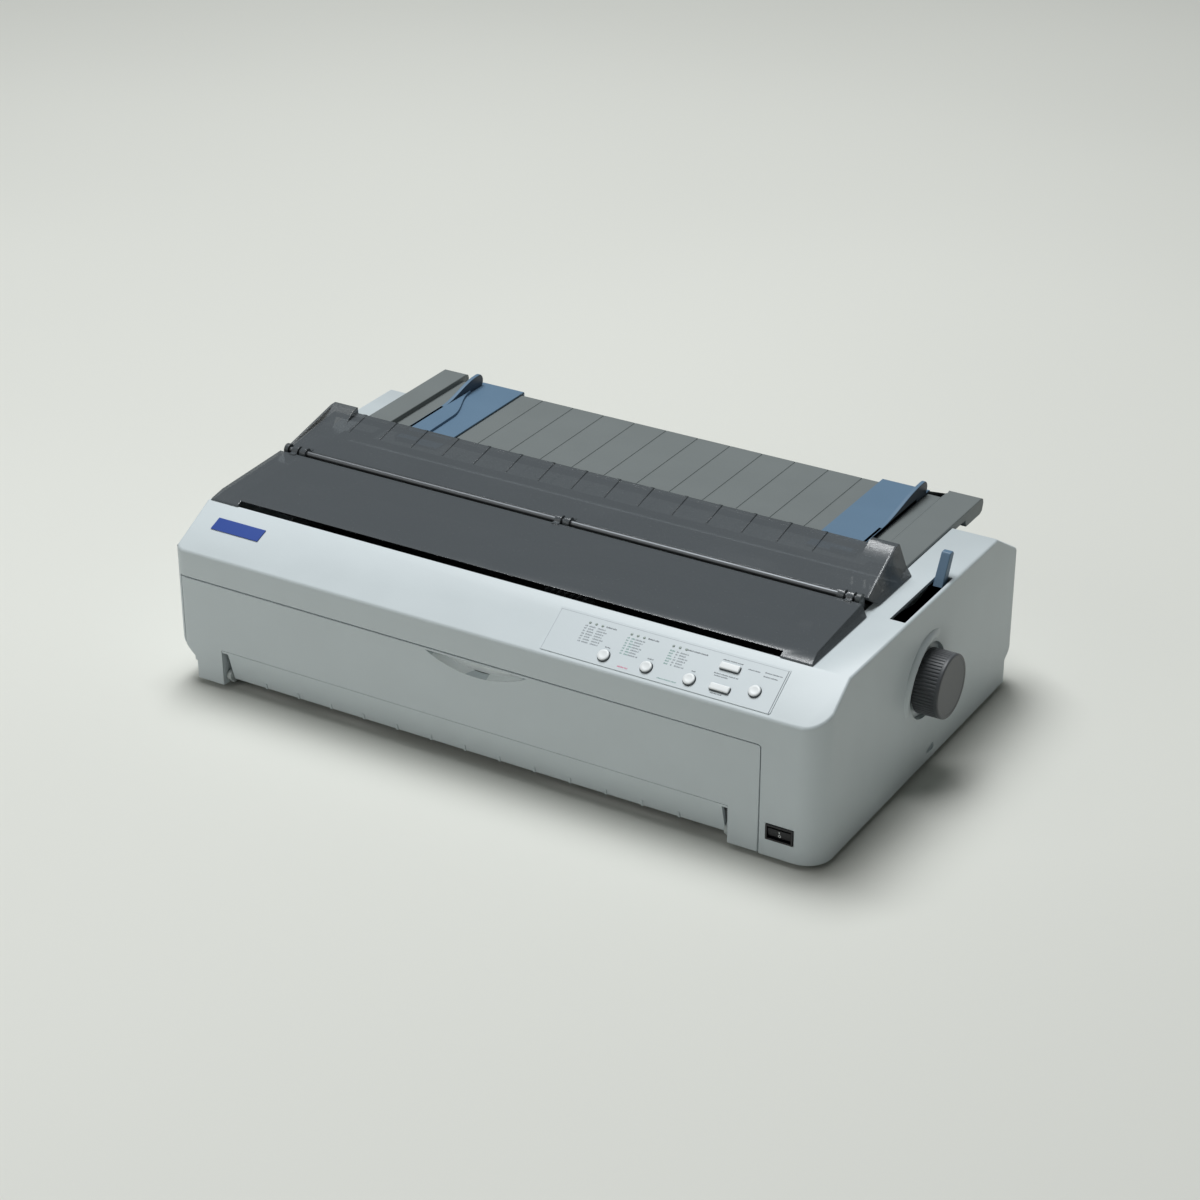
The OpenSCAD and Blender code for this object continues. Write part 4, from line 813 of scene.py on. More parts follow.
# Inks of the panel's print, then its lines of ticks (left, bottom, width, height) and its blocks of
# rows (left, top, widths of the columns, rows) in each ink.
INKS: dict[str, Colour] = {
    "dark": (0.13, 0.15, 0.17), "line": (0.40, 0.44, 0.47), "soft": (0.25, 0.28, 0.31),
    "green": (0.20, 0.34, 0.32), "rose": (0.60, 0.20, 0.30)}
TICK_LINES = {
    "dark": ((96.8, 36.7, 9.5, 1.3), (134.2, 36.7, 9.5, 1.3), (168.5, 36.7, 18.5, 1.3),
             (104.0, 20.2, 5.0, 1.0), (141.5, 20.6, 5.0, 1.0), (180.0, 20.6, 3.5, 1.0),
             (199.5, 37.4, 17.0, 1.0), (197.5, 24.6, 20.5, 1.0), (198.5, 22.6, 12.0, 1.0),
             (202.0, 7.6, 10.0, 1.0), (222.0, 35.0, 10.0, 1.0), (236.0, 36.0, 14.5, 1.0),
             (236.0, 32.6, 12.5, 1.0)),
    "green": ((156.0, 7.2, 17.0, 1.0),),
    "rose": ((121.0, 7.2, 9.0, 1.3),)}
TICK_BLOCKS = {
    "soft": ((79.5, 33.5, (2.2, 6.2, 8.8), 7), (124.8, 33.0, (8.6,), 7), (161.2, 32.5, (2.0, 8.0), 6)),
    "green": ((117.5, 33.0, (2.2, 3.8), 7), (155.5, 32.5, (4.2,), 6))}


@dataclass
class Housing:
    """The upper housing and the lower case."""

    rim_r: float = 2.2
    rim_z: float = 110.0
    small_r: float = 0.35
    plate_r: float = 0.25
    side_bands: tuple[float, float] = (8.0, 4.2)
    end_bands: tuple[float, float] = (24.0, 16.0)
    top_rise: float = 0.5
    wall_rise: float = 0.45
    lug_w: float = 20.0
    lug_d: float = 9.0
    lug_lift: float = 0.3

    def rim(self, edge: Edge) -> bool:
        """Tells whether an edge is on the outer rim, where the top turns down into a wall.

        Args:
            edge: The edge.

        Returns:
            True on the long edges and on the arcs of the corners, away from every cut.
        """
        middle = (edge.verts[0].co + edge.verts[1].co) / 2
        if middle.z < self.rim_z:
            return False
        left, right = self.side_bands
        front, rear = self.end_bands
        outside = (middle.x > LAYOUT.right_x - right or middle.x < -LAYOUT.right_x + left
                   or middle.y < front or middle.y > LAYOUT.body_d - rear)
        rise = sorted(face.normal.z for face in edge.link_faces)
        if not outside or rise[1] < self.top_rise or abs(rise[0]) > self.wall_rise:
            return False
        wall = min(edge.link_faces, key=lambda face: face.normal.z)
        away = middle - Vector((0, LAYOUT.body_d / 2, middle.z))
        return wall.normal.dot(away) > 0

    def lug(self, face: Face) -> bool:
        """Tells whether a face is on one of the dark lugs that carry the cover rod."""
        low, high = LAYOUT.mm_box("cover_hinge_rod")
        middle = face.calc_center_median()
        near = abs(middle.y - (low.y + high.y) / 2) < self.lug_d
        near = near and middle.z > LAYOUT.body_h + self.lug_lift
        return near and (middle.x < low.x + self.lug_w or middle.x > high.x - self.lug_w)

    def build(self) -> None:
        """Rounds both shells and the plate."""
        upper = Moulding.from_node("upper_housing")
        upper.rounded(Rounding(self.rim_r, 3, 24, self.rim, True), Rounding(self.small_r, 2, 40))
        upper.tinted(self.lug)
        upper.piece("upper_housing_shell", "housing", Finish.HOUSING, ["upper_housing"],
                    second=once("lug_plastic", MouldedPlastic((0.06, 0.07, 0.075))))
        dressed("lower_case", "lower_case_pan", "housing", Finish.CASE, Rounding(self.small_r, 2, 40))
        dressed("name_plate", "bare_name_plate", "housing", Finish.PLATE, Rounding(self.plate_r, 2, 40))


@dataclass
class Feet:
    """Four turned rubber feet."""

    radius: float = 9.0
    height: float = 4.0

    def build(self) -> None:
        """Turns the feet from their boxes in the frame."""
        low, high = LAYOUT.mm_box("rubber_feet")
        form = Moulding()
        r, h = self.radius, self.height
        profile = [(0, 0.5), (r - 4.5, 0.5), (r - 4, 0), (r - 1.2, 0), (r - 0.3, 0.5), (r, 1.2),
                   (r - 0.4, h - 0.3), (r - 0.8, h), (0, h)]
        for x in (low.x + r, high.x - r):
            for y in (low.y + r, high.y - r):
                form.lathe(profile, Matrix.Translation((x, y, 0)))
        form.piece("rubber_foot_set", "housing", Finish.FOOT, ["rubber_feet"])


@dataclass
class Covers:
    """The front cover, both smoked covers and the rod they turn on."""

    rod_r: float = 2.5
    rod_chamfer: float = 0.6
    rod_groove: float = 0.5
    seam: float = 0.5
    rim_reach: float = 0.3
    rim_d: float = 3.0
    rim_l: float = 12.0
    skin: float = 1.0
    grip_shift: float = 19.0
    grip_w: float = 84.0
    grip_h: float = 14.0
    grip_top: float = 1.5
    grip_y: tuple[float, float] = (0.35, 10.0)

    def build(self) -> None:
        """Rounds the covers and turns the rod."""
        door = Moulding.from_node("front_cover")
        self.widen_seam(door)
        door.rounded(Rounding(0.9, 3, 50, self.door_rim), Rounding(0.3, 2, 35))
        # The grip's faces get a paler plastic: a painted highlight where the pocket floor would catch the
        # light.
        door.tinted(self.grip)
        door.piece("front_cover_panel", "front_cover", Finish.HOUSING, ["front_cover"],
                   second=once("grip_painted_highlight", MouldedPlastic((0.88, 0.92, 0.93))))
        for node, radius in (("printer_cover", 0.45), ("sheet_guide_cover", 0.4)):
            dressed(node, node + "_shell", node, Finish.SMOKED, Rounding(radius, 2, 35))
        low, high = LAYOUT.mm_box("cover_hinge_rod")
        middle_y, middle_z = (low.y + high.y) / 2, (low.z + high.z) / 2
        r, length = self.rod_r, high.x - low.x
        groove, end = r - self.rod_groove, self.rod_chamfer
        ends = [(0, 0), (r - end, 0), (r, end), (r, 3.0), (groove, 3.2), (groove, 4.0), (r, 4.2)]
        profile = ends + [(radius, length - height) for radius, height in reversed(ends)]
        rod = Moulding().lathe(profile, turned((low.x, middle_y, middle_z), Axis.X), 32)
        rod.tinted(lambda face: True)
        burnished = once("burnished_rod", DrawnMetal((0.16, 0.17, 0.18), Axis.X, 0.42, 0.35, 0.7))
        rod.piece("cover_rod", "housing", Finish.STEEL, ["cover_hinge_rod"], second=burnished)

    def grip(self, face: Face) -> bool:
        """Tells whether a face is inside the finger grip under the seam; these faces take a paler plastic
        as a painted highlight of the lit pocket floor.
        """
        middle = face.calc_center_median()
        low, high = LAYOUT.mm_box("front_cover")
        near = abs(middle.x - (low.x + high.x) / 2 - self.grip_shift) < self.grip_w / 2 + 0.5
        inside = self.grip_y[0] < middle.y < self.grip_y[1]
        return near and inside and high.z - self.grip_h < middle.z < high.z - self.grip_top

    def widen_seam(self, door: Moulding) -> None:
        """Draws the door's top and right rims back, which widens the seam around it."""
        high = LAYOUT.mm_box("front_cover")[1]
        for vert in door.bm.verts:
            if vert.co.z > high.z - self.rim_reach and vert.co.y < self.rim_d:
                vert.co.z -= self.seam
            if vert.co.x > high.x - self.rim_reach:
                vert.co.x -= self.seam

    def door_rim(self, edge: Edge) -> bool:
        """Tells whether an edge is on the outside rim of the front cover."""
        return max(vert.co.y for vert in edge.verts) < self.skin and edge.calc_length() > self.rim_l


@dataclass
class EdgeGuide:
    """A sliding edge guide: a base plate, a low step with a sweeping edge and a fence with a tab."""

    node: str
    mirrored: bool
    base_t: float = 1.8
    step_t: float = 4.4
    step_y: tuple[float, float, float] = (62.0, 116.0, 118.0)
    fence_t: float = 3.4
    fence_z: float = 0.4
    tab_h: float = 14.0
    tab_gap: float = 6.0
    rise_y: tuple[float, float] = (74.0, 52.0)
    shade_l: float = 46.0
    shade_area: float = 20.0

    def sweep(self, start: float, end: float, low: float, high: float,
              count: int) -> list[tuple[float, float]]:
        """Points of a soft S between two levels.

        Args:
            start: Where the S starts.
            end: Where it ends.
            low: Its level at the start.
            high: Its level at the end.
            count: How many points it has.

        Returns:
            The points.
        """
        points = []
        for i in range(count):
            t = i / (count - 1)
            ease = t * t * (3 - 2 * t)
            points.append((start + (end - start) * t, low + (high - low) * ease))
        return points

    def build(self) -> None:
        """Builds the guide inside its node's box."""
        low, high = LAYOUT.mm_box(self.node)
        width = high.x - low.x
        base_z = high.z - self.tab_h
        y0, y1 = low.y, high.y
        flip = Matrix.Translation((high.x, 0, 0)) @ Matrix.Diagonal((-1, 1, 1, 1))
        lay = flip if self.mirrored else Matrix.Translation((low.x, 0, 0))
        form = Moulding()
        form.slab((0, y0, base_z), (width, y1 - 1, base_z + self.base_t), lay, 0.5, 3)
        lip = [(y1 - 2.6, base_z + self.base_t), (y1 - 0.6, base_z + self.base_t - 0.4), (y1, base_z + 0.4),
               (y1, low.z + 0.6), (y1 - 0.6, low.z), (y1 - 2, low.z + 0.4), (y1 - 2.6, base_z)]
        form.drawn(lip, 0, width, Axis.X, 0.25, 2, lay)
        start, end, tip = self.step_y
        edge = self.sweep(y0 + start, y0 + end, width * 0.47, self.fence_t + 1.0, 13)
        step = [(0, y0), (width * 0.5, y0)] + [(x, y) for y, x in edge] + [(0, y0 + tip)]
        form.drawn(step, base_z + 0.5, base_z + self.step_t, Axis.Z, 0.4, 2, lay)
        r = self.tab_h * 0.5
        foot_z, tab_y = base_z + self.fence_z, y1 - self.tab_gap - r
        crown = [(tab_y + r * math.sin(a), base_z + self.tab_h - r + r * math.cos(a))
                 for a in (math.pi * i / 12 for i in range(13))]
        rise = self.sweep(y0 + self.rise_y[self.mirrored], tab_y - 3, base_z + self.step_t,
                          base_z + self.tab_h, 15)
        fence = [(y0, foot_z), (y0, base_z + self.step_t)] + rise[:-1] + crown
        fence = [point for point in fence if point[1] > base_z + 0.3] + [(tab_y, foot_z)]
        form.drawn(fence, 0, self.fence_t, Axis.X, 0.5, 3, lay)
        bmesh.ops.recalc_face_normals(form.bm, faces=form.bm.faces[:])
        # Faces of the fence turned away from the light get a dark navy plastic: painted shade.
        form.tinted(lambda face: self.shaded(face, y1, base_z + self.step_t))
        form.piece(self.node + "_blade", self.node, Finish.BLUE, [self.node],
                   second=once("painted_shade_blue", MouldedPlastic((0.035, 0.055, 0.085))))

    def shaded(self, face: Face, y1: float, step_z: float) -> bool:
        """Tells whether a face takes the painted shade on the side of the fence that faces away from the
        light.

        Args:
            face: The face.
            y1: The guide's rear end.
            step_z: Top of the step.

        Returns:
            True on the outer side of a mirrored guide, and on the tab's inner side of the other.
        """
        middle = face.calc_center_median()
        upright = face.normal.x > 0.8 and face.calc_area() > 1
        if self.mirrored:
            return upright
        on_tab = middle.z > step_z - 3 and middle.y > y1 - self.shade_l
        return upright and on_tab and face.calc_area() > self.shade_area


@dataclass
class SheetGuide:
    """The grooved sheet guide and its two edge guides."""

    rim_z: float = 151.5
    rim_l: float = 30.0

    def build(self) -> None:
        """Rounds the bed and builds both guides."""
        dressed("sheet_guide", "sheet_guide_bed", "sheet_guide", Finish.TRAY,
                Rounding(0.9, 3, 40, self.long_rim), Rounding(0.22, 2, 40))
        EdgeGuide("edge_guide_left", False).build()
        EdgeGuide("edge_guide_right", True).build()

    def long_rim(self, edge: Edge) -> bool:
        """Tells whether an edge is one of the rims' long top edges."""
        return min(vert.co.z for vert in edge.verts) > self.rim_z and edge.calc_length() > self.rim_l


@dataclass
class ControlPanel:
    """The printed overlay with its buttons and lights."""

    left: float = 52.5
    width: float = 202.0
    low_s: float = 4.2
    length: float = 40.5
    film_t: float = 0.6
    mark_t: float = 0.05
    button_r: float = 5.0
    button_out: float = 2.8
    bar_l: float = 17.0
    bar_w: float = 6.0
    bar_x: float = 208.0
    bar_s: tuple[float, float] = (32.2, 13.2)
    light_s: float = 37.2
    light_step: float = 5.6
    light_starts: tuple[float, ...] = (29.8, 67.0, 104.0)
    light_r: float = 1.0
    light_foot: float = -5.6
    row_step: float = 2.4
    row_h: float = 1.25
    column_gap: float = 1.4
    side_shade_grey: Colour = (0.17, 0.185, 0.20)

    def build(self) -> None:
        """Builds the overlay, its print, the buttons and the lights."""
        dressed("control_panel", "panel_overlay", "housing", Finish.FILM, Rounding(0.12, 2, 40))
        self.print_marks()
        for node, (x, s) in BUTTON_PLACES.items():
            self.round_button(node, x, s)
        for number, s in enumerate(self.bar_s, 1):
            self.bar_button(f"bar_button_{number}", s)
        lights = Moulding()
        r, foot = self.light_r, self.light_foot
        profile = [(0, foot), (r, foot), (r, 0.75), (r * 0.7, 0.92), (0, 1.0)]
        for start in self.light_starts:
            for i in range(3):
                place = self.left + start + i * self.light_step
                lights.lathe(profile, LAYOUT.on_slope(place, self.light_s), 16)
        lights.piece("light_domes", "housing", Finish.LIGHT, ["indicator_lights"])

    def mark(self, form: Moulding, x: float, s: float, wide: float, high: float) -> None:
        """Adds one flat mark.

        Args:
            form: What it is added to.
            x: Its left edge across the panel.
            s: Its lower edge up the slope.
            wide: Its width.
            high: Its height.
        """
        form.slab((x, s, 0), (x + wide, s + high, self.mark_t), LAYOUT.on_slope(0, 0, self.film_t))

    def ticks(self, form: Moulding, x: float, s: float, wide: float, high: float) -> None:
        """Adds a row of ticks that fills a width, as a line of legend does.

        Args:
            form: What it is added to.
            x: Its left end.
            s: Its lower edge.
            wide: Its width.
            high: Height of the ticks.
        """
        place, count = x, 0
        while place < x + wide - 0.4:
            tick = 0.65 + 0.4 * ((count * 7 + int(x)) % 3) / 2
            lift = 0.25 * ((count * 5 + int(s)) % 2)
            self.mark(form, place, s, min(tick, x + wide - place), high - lift)
            place += tick + (0.75 if count % 5 == 4 else 0.3)
            count += 1

    def block(self, form: Moulding, x: float, top_s: float, columns: Sequence[float], rows: int) -> None:
        """Adds a block of short rows of ticks.

        Args:
            form: What it is added to.
            x: Its left edge.
            top_s: Height of its first row up the slope.
            columns: Width of each column.
            rows: How many rows it has.
        """
        for row in range(rows):
            place = x
            for number, wide in enumerate(columns):
                share = 1 - 0.12 * ((row + number) % 3)
                self.ticks(form, place, top_s - row * self.row_step, wide * share, self.row_h)
                place += wide + self.column_gap

    def print_marks(self) -> None:
        """Prints the border and the legends as plain lines and ticks, one piece for each ink; the dark
        strip along the right edge is a painted shadow of the overlay's step.
        """
        forms = {name: Moulding() for name in INKS}
        right, top = self.left + self.width, self.low_s + self.length
        # Painted shadow: a dark strip along the overlay's right edge, where its step casts shade.
        self.mark(forms["dark"], right - 1.6, self.low_s - 0.4, 0.55, self.length - 1.2)
        self.mark(forms["line"], self.left + 1.2, top - 2.2, self.width - 2.4, 0.35)
        self.mark(forms["line"], self.left + 1.2, self.low_s + 0.6, 0.4, self.length - 2.8)
        for name, colour in INKS.items():
            for line in TICK_LINES.get(name, ()):
                self.ticks(forms[name], *line)
            for block in TICK_BLOCKS.get(name, ()):
                self.block(forms[name], *block)
            made = forms[name].piece(f"panel_{name}_print", "housing", Finish.FILM)
            made.data.materials[0] = once(name + "_print", Ink(colour))

    def round_button(self, node: str, x: float, s: float) -> None:
        """Turns one round button.

        Args:
            node: The CAD node that it stands for.
            x: Its place across the panel.
            s: Its place up the slope.
        """
        r, out = self.button_r, self.button_out
        profile = [(0, -4.8), (r + 1.4, -4.8), (r + 1.4, -3.5), (r, -3.4), (r, out - 1.1),
                   (r - 0.12, out - 0.6), (r - 0.5, out - 0.2), (r - 1.1, out), (r - 2.4, out - 0.1),
                   (0, out - 0.25)]
        self.cap(node, Moulding().lathe(profile, LAYOUT.on_slope(x, s), 40))

    def bar_button(self, node: str, s: float) -> None:
        """Builds one oblong button.

        Args:
            node: The CAD node that it stands for.
            s: Its place up the slope.
        """
        l, w, out = self.bar_l / 2, self.bar_w / 2, self.button_out
        lay = LAYOUT.on_slope(self.bar_x, s)
        form = Moulding().slab((-l, -w, -3.6), (l, w, out), lay, 1.1, 4)
        self.cap(node, form.slab((-l - 1.1, -w - 1.1, -4.8), (l + 1.1, w + 1.1, -3.5), lay, 0.4, 2))

    def cap(self, node: str, form: Moulding) -> None:
        """Makes a button's form the piece that replaces its node, with painted shade on its steep sides."""
        # The steep sides take a grey plastic: painted shade on the button's flanks.
        shade = once("button_side_painted_shade", MouldedPlastic(self.side_shade_grey))
        form.tinted(self.side).piece(node + "_cap", node, Finish.BUTTON, [node], second=shade)

    def side(self, face: Face) -> bool:
        """Tells whether a face is on the steep side of a button, which takes the painted shade."""
        out = Vector((0, -math.sin(LAYOUT.slope_angle), math.cos(LAYOUT.slope_angle)))
        return face.normal.dot(out) < 0.25


@dataclass
class PowerSwitch:
    """The switch's frame and its rocker, with a bar and a ring for on and off."""

    lean: float = 1.4
    ring_r: float = 1.2
    ring_w: float = 0.45
    mark_t: float = 0.06
    mark_lift: float = 0.04

    def build(self) -> None:
        """Rounds the frame and the rocker and adds the marks."""
        dressed("switch_bezel", "switch_frame", "housing", Finish.BLACK, Rounding(0.3, 2, 40))
        dressed("switch_rocker", "switch_key", "switch_rocker", Finish.BLACK, Rounding(0.35, 2, 40))
        low, high = LAYOUT.mm_box("switch_rocker")
        lean = math.atan2(self.lean, high.z - low.z)
        middle = ((low.x + high.x) / 2, low.y + self.lean / 2 - self.mark_lift, (low.z + high.z) / 2)
        face = Matrix.Translation(middle) @ Matrix.Rotation(math.pi / 2 + lean, 4, "X")
        marks = Moulding().slab((-0.35, 0.6, 0), (0.35, 2.9, self.mark_t), face)
        inner, outer = self.ring_r - self.ring_w, self.ring_r
        ring = [(inner, 0), (outer, 0), (outer, self.mark_t), (inner, self.mark_t), (inner, 0)]
        marks.lathe(ring, face @ Matrix.Translation((0, -1.7, 0)), 28)
        made = marks.piece("switch_marks", "switch_rocker", Finish.BLACK)
        made.data.materials[0] = once("white_print", Ink((0.75, 0.78, 0.78)))


@dataclass
class FeedKnob:
    """The ribbed paper feed knob and the soft brow over it on the side wall."""

    rib_count: int = 56
    rib_depth: float = 0.7
    rib_ends: tuple[float, float] = (1.2, 3.2)
    rim_r: float = 1.6
    hood_gap: float = 11.0
    hood_w: float = 9.0
    hood_h: float = 3.8
    hood_turn: tuple[float, float] = (62.0, 205.0)
    hood_fade: float = 0.7
    hood_rest: float = 0.04

    def build(self) -> None:
        """Builds the ribbed barrel, the smooth face and the brow."""
        low, high = LAYOUT.mm_box("paper_feed_knob")
        r = (high.z - low.z) / 2
        centre = ((low.y + high.y) / 2, (low.z + high.z) / 2)
        ribs = []
        pitch = math.tau / self.rib_count
        for i in range(self.rib_count):
            for part, depth in ((0.0, self.rib_depth), (0.22, self.rib_depth), (0.36, 0.0), (0.84, 0.0)):
                angle, radius = (i + part) * pitch, r - depth
                ribs.append((centre[0] + radius * math.sin(angle), centre[1] + radius * math.cos(angle)))
        form = Moulding().drawn(ribs, low.x + self.rib_ends[0], high.x - self.rib_ends[1], Axis.X, 0.14, 1)
        length = high.x - low.x
        inner = r - self.rib_depth - 0.3
        skirt = [(0, 0.4), (r - 1.4, 0.4), (r - 0.5, 0.9), (r - 0.5, 1.5), (inner, 1.9), (0, 1.9)]
        face = [(0, length - 3.6), (r - 0.2, length - 3.6)]
        for i in range(6):
            angle = i * math.pi / 10
            face.append((r - self.rim_r * (1 - math.cos(angle)),
                         length - self.rim_r * (1 - math.sin(angle))))
        face += [(r - 3.2, length), (r - 3.6, length - 0.25), (0, length - 0.25)]
        lay = turned((low.x, *centre), Axis.X)
        form.lathe(skirt, lay, 72).lathe(face, lay, 72)
        form.piece("feed_knob_grip", "paper_feed", Finish.KNOB, ["paper_feed_knob"])
        self.hood(r, (LAYOUT.right_x, *centre))

    def hood(self, knob_r: float, centre: Point) -> None:
        """Adds the soft brow on the side wall that arches over the knob and fades at both ends.

        Args:
            knob_r: The knob's radius.
            centre: Where the knob's axis meets the wall.
        """
        turn = bmesh.new()
        reach, half, high = knob_r + self.hood_gap, self.hood_w / 2, self.hood_h
        profile = [(-1.0, -0.4), (-0.98, 0.0), (-0.72, 0.55), (-0.3, 0.92), (0.1, 1.0), (0.5, 0.8),
                   (0.85, 0.3), (1.0, 0.0), (1.0, -0.4)]
        loop = [turn.verts.new((high * lift, reach + half * side, 0)) for side, lift in profile]
        edges = [turn.edges.new(pair) for pair in zip(loop, loop[1:] + loop[:1])]
        start, end = self.hood_turn
        first = Matrix.Rotation(math.radians(start), 3, "X")
        bmesh.ops.rotate(turn, cent=(0, 0, 0), verts=loop, matrix=first)
        bmesh.ops.spin(turn, geom=loop + edges, cent=(0, 0, 0), axis=(1, 0, 0),
                       angle=math.radians(end - start), steps=36, use_merge=False)
        bmesh.ops.holes_fill(turn, edges=[edge for edge in turn.edges if edge.is_boundary], sides=0)
        for vert in turn.verts:
            angle = math.degrees(math.atan2(vert.co.z, vert.co.y)) % 360
            share = (angle - start) / (end - start)
            fade = max(0.0, math.sin(math.pi * min(max(share, 0.0), 1.0))) ** self.hood_fade
            if vert.co.x > 0:
                vert.co.x *= self.hood_rest + (1 - self.hood_rest) * fade
        Moulding().join(turn, Matrix.Translation(centre)).piece("knob_hood", "housing", Finish.HOUSING)


@dataclass
class ReleaseLever:
    """The paper release lever."""

    arm_z: float = 130.0

    def build(self) -> None:
        """Rounds the lever."""
        dressed("release_lever", "release_lever_arm", "release_lever", Finish.BLUE,
                Rounding(0.8, 3, 35, self.arm), Rounding(0.3, 2, 35))

    def arm(self, edge: Edge) -> bool:
        """Tells whether an edge is on the upper arm."""
        return min(vert.co.z for vert in edge.verts) > self.arm_z


@dataclass
class Turning:
    """A turned part that replaces a round node lying along an axis."""

    node: str
    body: str
    finish: Finish
    chamfer: float = 0.6

    def build(self, name: str) -> None:
        """Turns the part to its node's box.

        Args:
            name: The piece's name.
        """
        low, high = LAYOUT.mm_box(self.node)
        size = high - low
        axis = max(Axis, key=lambda item: size[item.value])
        across = [item for item in Axis if item is not axis]
        r = size[across[0].value] / 2
        length = size[axis.value]
        middle = (low + high) / 2
        middle[axis.value] = low[axis.value]
        c = self.chamfer
        profile = [(0, 0), (r - c, 0), (r, c), (r, length - c), (r - c, length), (0, length)]
        form = Moulding().lathe(profile, turned(tuple(middle), axis), 56)
        form.piece(name, self.body, self.finish, [self.node])


# Nodes with softened edges, by finish and radius; a node named alone rides on its own body.
MECHANISM_PARTS = (
    (Finish.GEAR, 0.15, "platen_gear:paper_feed idler_gear_1 idler_gear_2 tractor_gear:tractor_drive"),
    (Finish.GEAR, 0.12, "feed_pinion"),
    (Finish.GEAR, 0.2, "drive_pulley idle_pulley"),
    (Finish.MOTOR, 0.4, "feed_motor:housing"),
    (Finish.MOTOR, 0.6, "carriage_motor:housing"),
    (Finish.FRAME, 0.25, "frame_left:housing frame_right:housing"),
    (Finish.FRAME, 0.3, "carriage_rail:housing"),
    (Finish.BLACK, 0.5, "carriage"),
    (Finish.HEAD, 0.3, "print_head:carriage"),
    (Finish.CARTRIDGE, 0.6, "ribbon_cartridge:housing"),
    (Finish.CASE, 0.4, "ribbon_knob"),
    (Finish.PLATEN, 0.2, "timing_belt:housing"),
    (Finish.TRAY, 0.4, "tractor_left tractor_right front_paper_guide:housing"),
    (Finish.BLUE, 0.4, "tractor_flap_left tractor_flap_right"))
ELECTRONIC_PARTS = (
    (Finish.BOARD, 0.2, "main_board:housing panel_board:housing"),
    (Finish.POWER_BOARD, 0.2, "power_board:housing"),
    (Finish.MOTOR, 0.4, "transformer:housing"),
    (Finish.BLACK, 0.4, "fan_frame:housing"),
    (Finish.BLACK, 0.3, "fan_rotor mains_inlet:housing"),
    (Finish.STEEL, 0.25, "parallel_port:housing"),
    (Finish.STEEL, 0.2, "usb_port:housing"),
    (Finish.HOUSING, 0.4, "option_cover:housing"))


@dataclass
class SoftenedParts:
    """Copies of nodes with softened edges."""

    parts: tuple[tuple[Finish, float, str], ...]

    def build(self) -> None:
        """Rounds every part."""
        for finish, radius, places in self.parts:
            for place in places.split():
                node, _, body = place.partition(":")
                dressed(node, node + "_part", body or node, finish, Rounding(radius, 2, 35))


@dataclass
class Mechanism(SoftenedParts):
    """Platen, shafts, gears, carriage, ribbon and tractors."""

    parts: tuple[tuple[Finish, float, str], ...] = MECHANISM_PARTS

    def build(self) -> None:
        """Turns the rollers and shafts and rounds the rest."""
        Turning("platen_roller", "paper_feed", Finish.PLATEN).build("platen_rubber_sleeve")
        Turning("platen_shaft", "paper_feed", Finish.STEEL).build("platen_spindle")
        Turning("carriage_rod", "housing", Finish.STEEL).build("carriage_guide_rod")
        Turning("tractor_drive_shaft", "tractor_drive", Finish.STEEL).build("tractor_drive_spindle")
        Turning("tractor_support_shaft", "housing", Finish.STEEL).build("tractor_support_rod")
        super().build()


@dataclass
class Electronics(SoftenedParts):
    """Boards, transformer, fan, ports and inlet."""

    parts: tuple[tuple[Finish, float, str], ...] = ELECTRONIC_PARTS


# ---- Studio ----


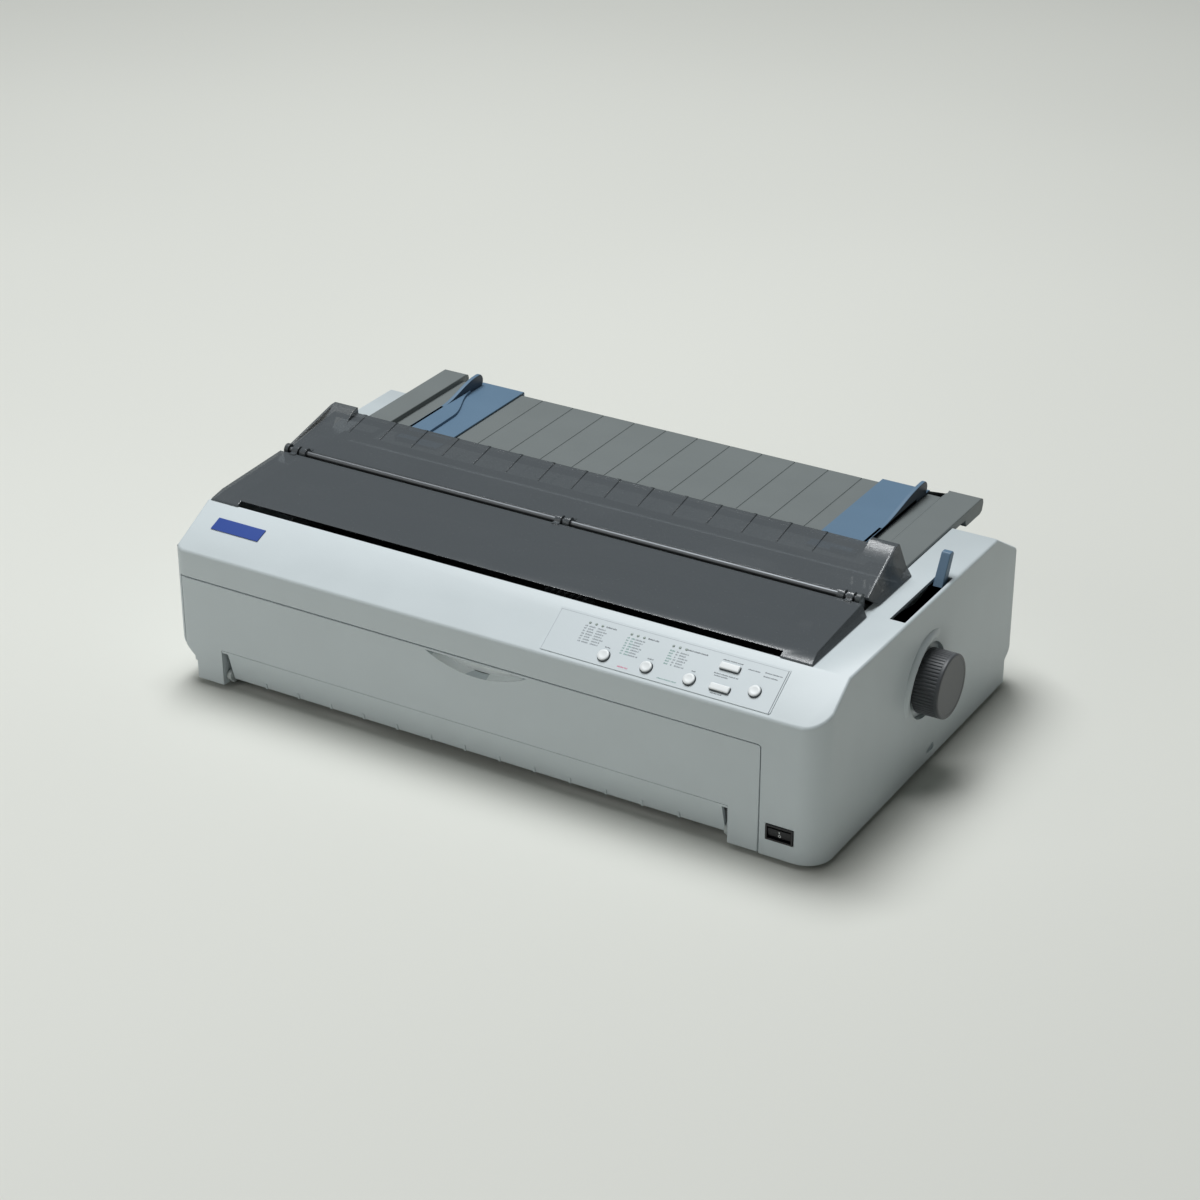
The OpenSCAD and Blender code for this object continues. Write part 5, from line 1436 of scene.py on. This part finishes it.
@dataclass
class Studio:
    """Pale floor, soft lights and the camera."""

    camera_at: Point = (1.09214, -1.85231, 1.19729)
    camera_tilt: float = 62.396
    camera_turn: float = 30.785
    lens: float = 86.74
    sensor: float = 36.0
    reach: float = 50.0
    floor_size: float = 14.0
    floor_tone: Colour = (0.72, 0.725, 0.68)
    air_tone: Colour = (0.80, 0.84, 0.80)
    air_strength: float = 0.11
    aim: Point = (0.0, 0.0, 0.1)

    def build(self) -> None:
        """Builds the floor, the lights and the camera."""
        self.floor()
        self.lamp("key", (-0.75, 0.55, 3.8), 2.0, 150.0, (0.97, 0.99, 1.0))
        self.lamp("front", (-1.1, -2.4, 1.3), 1.8, 11.0, (1.0, 1.0, 0.98))
        world = bpy.data.worlds.new("studio_air")
        bpy.context.scene.world = world
        world.use_nodes = True
        air = world.node_tree.nodes["Background"]
        air.inputs["Color"].default_value = (*self.air_tone, 1.0)
        air.inputs["Strength"].default_value = self.air_strength
        bpy.context.scene.view_settings.view_transform = "Standard"
        self.camera()

    def floor(self) -> None:
        """Lays the floor."""
        sheet = bmesh.new()
        bmesh.ops.create_grid(sheet, x_segments=2, y_segments=2, size=self.floor_size / 2)
        mesh = bpy.data.meshes.new("studio_floor")
        sheet.to_mesh(mesh)
        sheet.free()
        mesh.materials.append(StudioFloor(self.floor_tone).material("studio_floor"))
        placed("studio_floor", mesh)

    def lamp(self, name: str, place: Point, size: float, power: float, colour: Colour) -> None:
        """Adds a soft square light that faces the printer.

        Args:
            name: The light's name.
            place: Where it stands, in metres.
            size: Its edge, in metres.
            power: Its power, in watts.
            colour: Its colour.
        """
        light = bpy.data.lights.new(name, "AREA")
        light.size, light.energy, light.color = size, power, colour
        made = placed(name, light)
        made.location = place
        made.rotation_euler = (Vector(self.aim) - Vector(place)).to_track_quat("-Z", "Y").to_euler()

    def camera(self) -> None:
        """Puts the camera where it sees the front, the top and the right side."""
        lens = bpy.data.cameras.new("studio_camera")
        lens.lens, lens.sensor_width, lens.clip_end = self.lens, self.sensor, self.reach
        made = placed("studio_camera", lens)
        made.location = self.camera_at
        made.rotation_euler = (math.radians(self.camera_tilt), 0, math.radians(self.camera_turn))
        bpy.context.scene.camera = made


def main() -> None:
    """Builds every sub-assembly in order and reports its pieces."""
    logging.basicConfig(level=logging.INFO, format="%(message)s")
    for assembly in (Housing(), Feet(), Covers(), SheetGuide(), ControlPanel(), PowerSwitch(), FeedKnob(),
                     ReleaseLever(), Mechanism(), Electronics(), Studio()):
        before = {item.name for item in bpy.data.objects}
        assembly.build()
        for made in bpy.data.objects:
            if made.name not in before:
                LOG.info("%s: %s", type(assembly).__name__, made.name)


if __name__ == "__main__":
    main()
